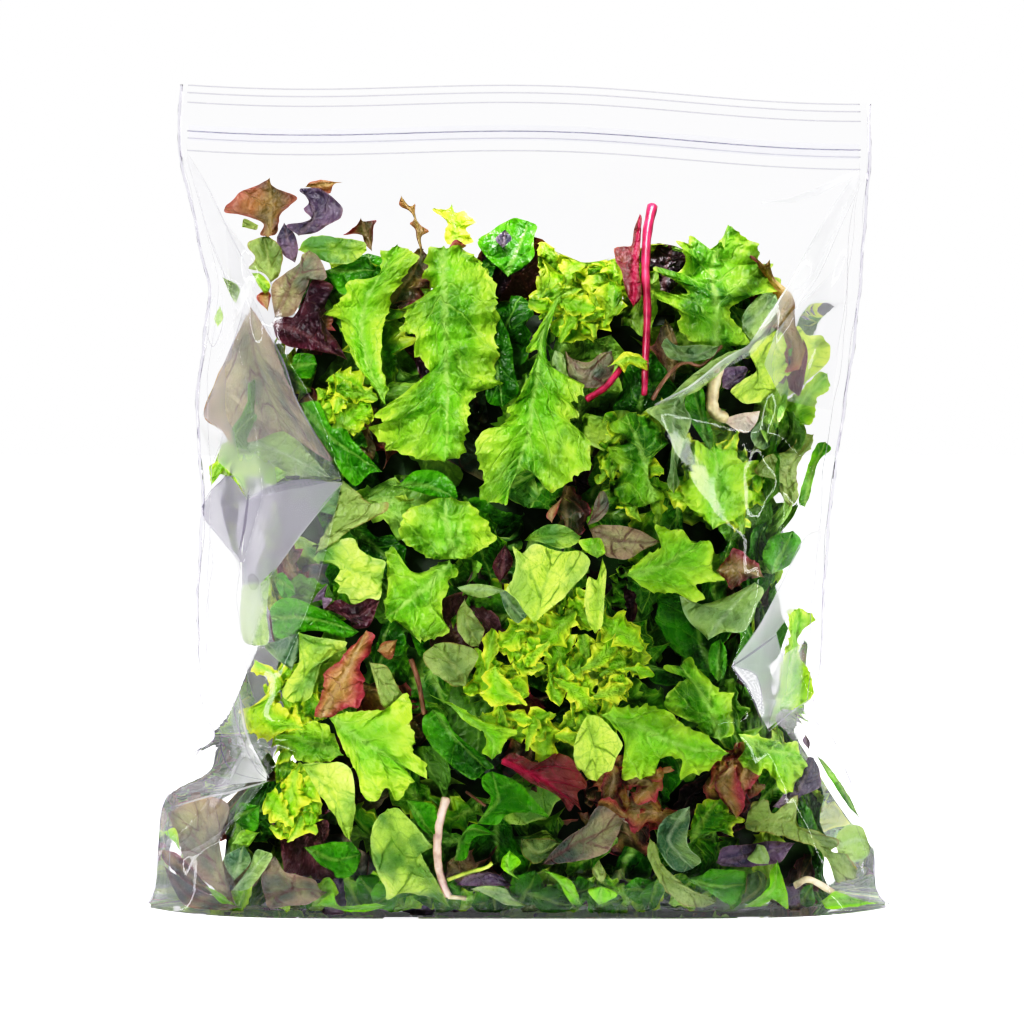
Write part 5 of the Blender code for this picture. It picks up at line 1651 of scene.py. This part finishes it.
def core_material(name):
    material, graph, output = new_material(name)
    place = graph.node("ShaderNodeTexCoord").outputs["Object"]
    blotch = graph.ramp(graph.noise(place, 60.0, 4.0), 0.35, 0.65)
    # Painted shade: the core is coloured almost black, the shade deep in the heap, not the leaves' own green.
    colour = graph.mix(blotch, (0.006, 0.016, 0.004, 1.0), (0.02, 0.07, 0.008, 1.0))
    cells = graph.node("ShaderNodeTexVoronoi", Scale=120.0, Vector=place)
    bump = graph.node("ShaderNodeBump", Strength=0.8, Distance=0.002, Height=cells.outputs["Distance"])
    shader = graph.node("ShaderNodeBsdfPrincipled", Base_Color=colour, Normal=bump.outputs[0])
    shader.inputs["Roughness"].default_value = 0.6
    graph.feed(output.inputs["Surface"], shader.outputs[0])
    return material


# ---------------------------------------------------------------- settings
class SaladLeafSettings(bpy.types.PropertyGroup):
    seed: bpy.props.IntProperty(name="Seed", description="Which random bends the leaves take", default=11)
    spacing: bpy.props.FloatProperty(
        name="Spacing", description="Step between hidden leaves, in millimetres", default=27.0, min=10.0
    )


class SaladFilmSettings(bpy.types.PropertyGroup):
    tint: bpy.props.FloatVectorProperty(
        name="Tint", description="What colour the clear film lets through", subtype="COLOR",
        default=(0.985, 0.985, 0.993), min=0.0, max=1.0,
    )
    shine: bpy.props.FloatProperty(
        name="Shine", description="Strength of the film's mirror gloss", default=1.35, min=0.0
    )
    haze: bpy.props.FloatProperty(
        name="Haze", description="Milky share seen face on", default=0.0006, min=0.0, max=1.0,
        subtype="FACTOR", precision=4,
    )
    # The grey end of the milky sheets, which paint reflections of the facets as well as doubled film.
    fold_and_reflection_grey: bpy.props.FloatVectorProperty(
        name="Fold Grey", description="The greyest a doubled layer of film gets", subtype="COLOR",
        default=(0.27, 0.25, 0.31), min=0.0, max=1.0,
    )


class SaladStageSettings(bpy.types.PropertyGroup):
    key_light: bpy.props.FloatProperty(
        name="Key Light", description="Radiance of the softboxes that light the leaves", default=9.0
    )
    film_light: bpy.props.FloatProperty(
        name="Film Light", description="Radiance of the lights that only the film mirrors", default=12.0
    )
    fill: bpy.props.FloatProperty(name="Fill", description="Light from all round on the leaves", default=0.16)


FILM_PIECES = ("film_bag", "film_welds", "film_ribs", "film_zip_line")


class SALAD_OT_leaves(bpy.types.Operator):
    """Fill the bag: leaves drawn one by one against the front film, torn bits, and the rest scattered"""

    bl_idname = "salad.leaves"
    bl_label = "Leaves"

    def execute(self, context):
        settings = context.scene.salad_leaves
        rng = np.random.default_rng(settings.seed)
        pile = LeafPile()
        for kind, layer, tone_and_shade, rib, *margins in sorted(SHAPED_LEAVES, key=lambda leaf: leaf[1]):
            pile.draw(kind, layer, tone_and_shade, rib, margins, rng)
        scatter_bits(pile, rng)
        # The two deeper front layers get painted shade: dark 0.5 and 0.7.
        scatter_leaves(pile, -1, (2.4,), settings.spacing * 0.8, rng, 0.65, 1.0, 0.5)
        scatter_leaves(pile, -1, (3.6,), settings.spacing, rng, 0.9, 1.0, 0.7)
        scatter_leaves(pile, 1, (0.3, 2.2), settings.spacing * 0.93, rng)
        surface = leaf_group()
        for kind in KINDS:
            mesh = pile.build(kind, f"leaves_{kind}")
            material = leaf_material(f"{kind}_leaf", kind, surface)
            piece = link(f"leaves_{kind}", mesh, material)
            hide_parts("bag")
        return {"FINISHED"}


class SALAD_OT_stalks(bpy.types.Operator):
    """Add the bare stalks and stems between the leaves"""

    bl_idname = "salad.stalks"
    bl_label = "Stalks"

    def execute(self, context):
        surface = stalk_group()
        for colour, value in STALK_COLOURS.items():
            name = f"stalks_{colour}"
            material = stalk_material(f"{colour}_stalk", value, surface)
            link(name, stalk_mesh(name, colour), material)
        return {"FINISHED"}


class SALAD_OT_core(bpy.types.Operator):
    """Close the middle of the heap, where packed leaves let no light through"""

    bl_idname = "salad.core"
    bl_label = "Packed Core"

    def execute(self, context):
        link("leaf_core", core_mesh("leaf_core"), core_material("packed_leaf_painted_shade"))
        return {"FINISHED"}


class SALAD_OT_film(bpy.types.Operator):
    """Wrap the leaves in creased clear film, with welded side seams and the lips' ribs"""

    bl_idname = "salad.film"
    bl_label = "Film"

    def execute(self, context):
        settings = context.scene.salad_film
        wrinkle = wrinkle_group()
        film = film_material("clear_film", wrinkle, settings.tint, settings.haze, settings.shine, 0.035)
        bag = link("film_bag", film_mesh("film_bag"), film)
        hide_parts("bag")
        weld = film_material("welded_film", wrinkle, (0.86, 0.85, 0.9), 0.01, 1.2, 0.1)
        link("film_welds", seam_mesh("film_welds"), weld)
        mouth = (-130.5, 135.5)
        ribs = [oval(offset, level, 0.2, 0.25) for offset, level in RIBS]
        link("film_ribs", mouth_sweep("film_ribs", ribs, *mouth), weld)
        line = film_material("zip_line", wrinkle, (0.6, 0.59, 0.68), 0.1, 1.0, 0.2)
        bead = [oval(-2.6, ZIP_MIDDLE + 0.1, 0.3, 0.3)]
        link("film_zip_line", mouth_sweep("film_zip_line", bead, *mouth), line)
        # Milky sheets and creases: doubled film, and painted reflections and glints of the facets.
        folds_and_reflections = fold_and_reflection_material("folded_film_and_reflection", wrinkle, settings.fold_and_reflection_grey, (0.97, 0.97, 0.99))
        sheets = [veil_grid(*veil, -1) for veil in VEILS] + [veil_grid(*veil, 1) for veil in back_veils()]
        link("film_folds_and_reflections", folds_mesh("film_folds_and_reflections", sheets), folds_and_reflections)
        creases = [crease_grid(*crease, -1) for crease in CREASES]
        for way, inset, width in SEAM_LINES:
            creases.append(crease_grid(seam_line(way, inset), width, 0.7, 0.35, -1))
        link("film_creases", folds_mesh("film_creases", creases), folds_and_reflections)
        return {"FINISHED"}


class SALAD_OT_zip(bpy.types.Operator):
    """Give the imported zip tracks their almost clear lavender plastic"""

    bl_idname = "salad.zip"
    bl_label = "Zip"

    def execute(self, context):
        material, graph, output = new_material("zip_plastic")
        shader = graph.node("ShaderNodeBsdfPrincipled", Base_Color=(0.85, 0.84, 0.92, 1.0))
        shader.inputs["Roughness"].default_value = 0.22
        clear = graph.node("ShaderNodeBsdfTransparent", Color=(0.985, 0.985, 0.995, 1.0))
        both = graph.node("ShaderNodeMixShader")
        both.inputs[0].default_value = 0.04
        graph.feed(both.inputs[1], clear.outputs[0])
        graph.feed(both.inputs[2], shader.outputs[0])
        graph.feed(output.inputs["Surface"], both.outputs[0])
        for name in ("zip_track_front", "zip_track_back"):
            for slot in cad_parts[name].material_slots:
                slot.material = material
        return {"FINISHED"}


# Print-like contrast: what a brightness becomes.
CONTRAST = ((0.03, 0.012), (0.12, 0.1), (0.35, 0.4), (0.65, 0.78))


def look_rotation(aim):
    """Euler angles that point an object's -Z along a direction, with its Y up."""
    return Vector(aim).to_track_quat("-Z", "Y").to_euler()


def softbox(name, place, target, width, height, radiance, receivers, colour=(1, 1, 1)):
    """A rectangular light facing a target, which lights what its receivers allow."""
    light = bpy.data.lights.new(name, "AREA")
    light.shape = "RECTANGLE"
    light.size, light.size_y = width, height
    light.energy = radiance * width * height * math.pi
    light.color = colour
    obj = bpy.data.objects.new(name, light)
    bpy.context.scene.collection.objects.link(obj)
    obj.location = place
    obj.rotation_euler = look_rotation(Vector(target) - Vector(place))
    obj.visible_camera = False
    obj.light_linking.receiver_collection = receivers
    return obj


def receivers_of(name, pieces, state):
    """A collection that lights or spares the given pieces."""
    made = bpy.data.collections.new(name)
    for piece in pieces:
        made.objects.link(piece)
    for entry in made.collection_objects:
        entry.light_linking.link_state = state
    return made


def pale_floor(scene):
    """White floor, bright enough to leave only a soft contact shadow."""
    mesh = bpy.data.meshes.new("floor")
    bm = bmesh.new()
    bmesh.ops.create_grid(bm, x_segments=2, y_segments=2, size=30.0)
    bm.to_mesh(mesh)
    bm.free()
    floor = bpy.data.objects.new("floor", mesh)
    scene.collection.objects.link(floor)
    material, graph, output = new_material("pale_floor")
    shader = graph.node("ShaderNodeBsdfPrincipled")
    shader.inputs["Base Color"].default_value = (0.95, 0.95, 0.95, 1.0)
    shader.inputs["Roughness"].default_value = 0.6
    shader.inputs["Emission Color"].default_value = (1.0, 1.0, 1.0, 1.0)
    seen = graph.node("ShaderNodeLightPath").outputs["Is Camera Ray"]
    graph.feed(shader.inputs["Emission Strength"], graph.ramp(seen, 0.0, 1.0, 0.25, 0.86))
    graph.feed(output.inputs["Surface"], shader.outputs[0])
    mesh.materials.append(material)
    floor.visible_glossy = False


def studio_world(scene, fill_level):
    """White surroundings: bright behind the bag, dark in front of it where the film would mirror them."""
    world = bpy.data.worlds.new("studio")
    world.use_nodes = True
    world.node_tree.nodes.clear()
    graph = Graph(world.node_tree)
    output = graph.node("ShaderNodeOutputWorld")
    path = graph.node("ShaderNodeLightPath").outputs
    way = graph.node("ShaderNodeSeparateXYZ", Vector=graph.node("ShaderNodeTexCoord").outputs["Generated"])
    behind = graph.ramp(way.outputs["Y"], -0.15, 0.45, 0.03, 0.95)
    strength = graph.node("ShaderNodeMix", {"data_type": "FLOAT"})
    graph.feed(strength.inputs[0], path["Is Diffuse Ray"])
    graph.feed(strength.inputs[2], behind)
    graph.feed(strength.inputs[3], fill_level)
    strength = graph.math("MAXIMUM", path["Is Camera Ray"], strength.outputs[0])
    background = graph.node("ShaderNodeBackground", Color=(1.0, 1.0, 1.0, 1.0), Strength=strength)
    graph.feed(output.inputs["Surface"], background.outputs[0])
    scene.world = world


class SALAD_OT_stage(bpy.types.Operator):
    """Set the pale floor, the soft studio lights and the camera"""

    bl_idname = "salad.stage"
    bl_label = "Stage"

    def execute(self, context):
        scene = context.scene
        settings = scene.salad_stage
        pale_floor(scene)
        studio_world(scene, settings.fill)
        films = [scene.objects[name] for name in FILM_PIECES]
        spared = receivers_of("all_but_film", films, "EXCLUDE")
        lit = receivers_of("film_only", films, "INCLUDE")
        key = settings.key_light
        target = (0, 0, 0.14)
        softbox("left_key", (-0.5, -1.05, 0.8), target, 0.3, 0.3, key * 5.5, spared)
        softbox("right_key", (1.0, -0.4, 0.4), target, 0.25, 0.6, key * 1.8, spared)
        softbox("top_key", (0.15, -0.42, 1.35), target, 0.5, 0.3, key * 14, spared)
        shine = settings.film_light
        softbox("left_veil", (-1.2, 0.0, -0.05), target, 0.6, 0.5, shine * 0.05, lit)
        softbox("left_gleam", (-1.2, 0.0, 0.45), target, 0.7, 0.5, shine * 0.25, lit, (0.95, 0.93, 1.0))
        softbox("right_veil", (1.2, -0.1, 0.3), target, 0.7, 0.9, shine * 0.05, lit)
        softbox("left_strip", (-1.15, -0.28, 0.2), target, 0.04, 1.2, shine * 1.2, lit)
        softbox("right_strip", (1.15, -0.3, 0.2), target, 0.04, 1.2, shine * 1.2, lit)

        camera = bpy.data.cameras.new("camera")
        camera.lens = 100.0
        camera.sensor_width = 36.0
        camera.clip_start = 0.01
        camera.dof.use_dof = False
        eye = bpy.data.objects.new("camera", camera)
        scene.collection.objects.link(eye)
        eye.location = (-0.0024, -1.128, 0.185)
        eye.rotation_euler = look_rotation((0.0, 1.128, -0.029))
        scene.camera = eye
        scene.view_settings.view_transform = "Standard"
        scene.view_settings.use_curve_mapping = True
        curves = scene.view_settings.curve_mapping
        for before, after in CONTRAST:
            curves.curves[3].points.new(before, after)
        curves.update()
        scene.cycles.transparent_max_bounces = 16
        scene.cycles.max_bounces = 6
        scene.cycles.diffuse_bounces = 2
        scene.cycles.glossy_bounces = 3
        return {"FINISHED"}


class SALAD_PT_panel(bpy.types.Panel):
    bl_idname = "SALAD_PT_panel"
    bl_label = "Salad Bag"
    bl_space_type = "VIEW_3D"
    bl_region_type = "UI"
    bl_category = "Salad Bag"

    def draw(self, context):
        scene = context.scene
        for settings in (scene.salad_leaves, scene.salad_film, scene.salad_stage):
            box = self.layout.box()
            for name in settings.__annotations__:
                box.prop(settings, name)
        for operator in OPERATORS:
            self.layout.operator(operator.bl_idname)


SETTINGS = {
    "salad_leaves": SaladLeafSettings,
    "salad_film": SaladFilmSettings,
    "salad_stage": SaladStageSettings,
}
OPERATORS = (SALAD_OT_film, SALAD_OT_zip, SALAD_OT_leaves, SALAD_OT_stalks, SALAD_OT_core, SALAD_OT_stage)


def register():
    for name, group in SETTINGS.items():
        bpy.utils.register_class(group)
        setattr(bpy.types.Scene, name, bpy.props.PointerProperty(type=group))
    for operator in OPERATORS:
        bpy.utils.register_class(operator)
    bpy.utils.register_class(SALAD_PT_panel)


def unregister():
    bpy.utils.unregister_class(SALAD_PT_panel)
    for operator in reversed(OPERATORS):
        bpy.utils.unregister_class(operator)
    for name, group in SETTINGS.items():
        delattr(bpy.types.Scene, name)
        bpy.utils.unregister_class(group)


def main():
    register()
    bpy.ops.salad.film()
    bpy.ops.salad.zip()
    bpy.ops.salad.leaves()
    bpy.ops.salad.stalks()
    bpy.ops.salad.core()
    bpy.ops.salad.stage()


if __name__ == "__main__":
    main()
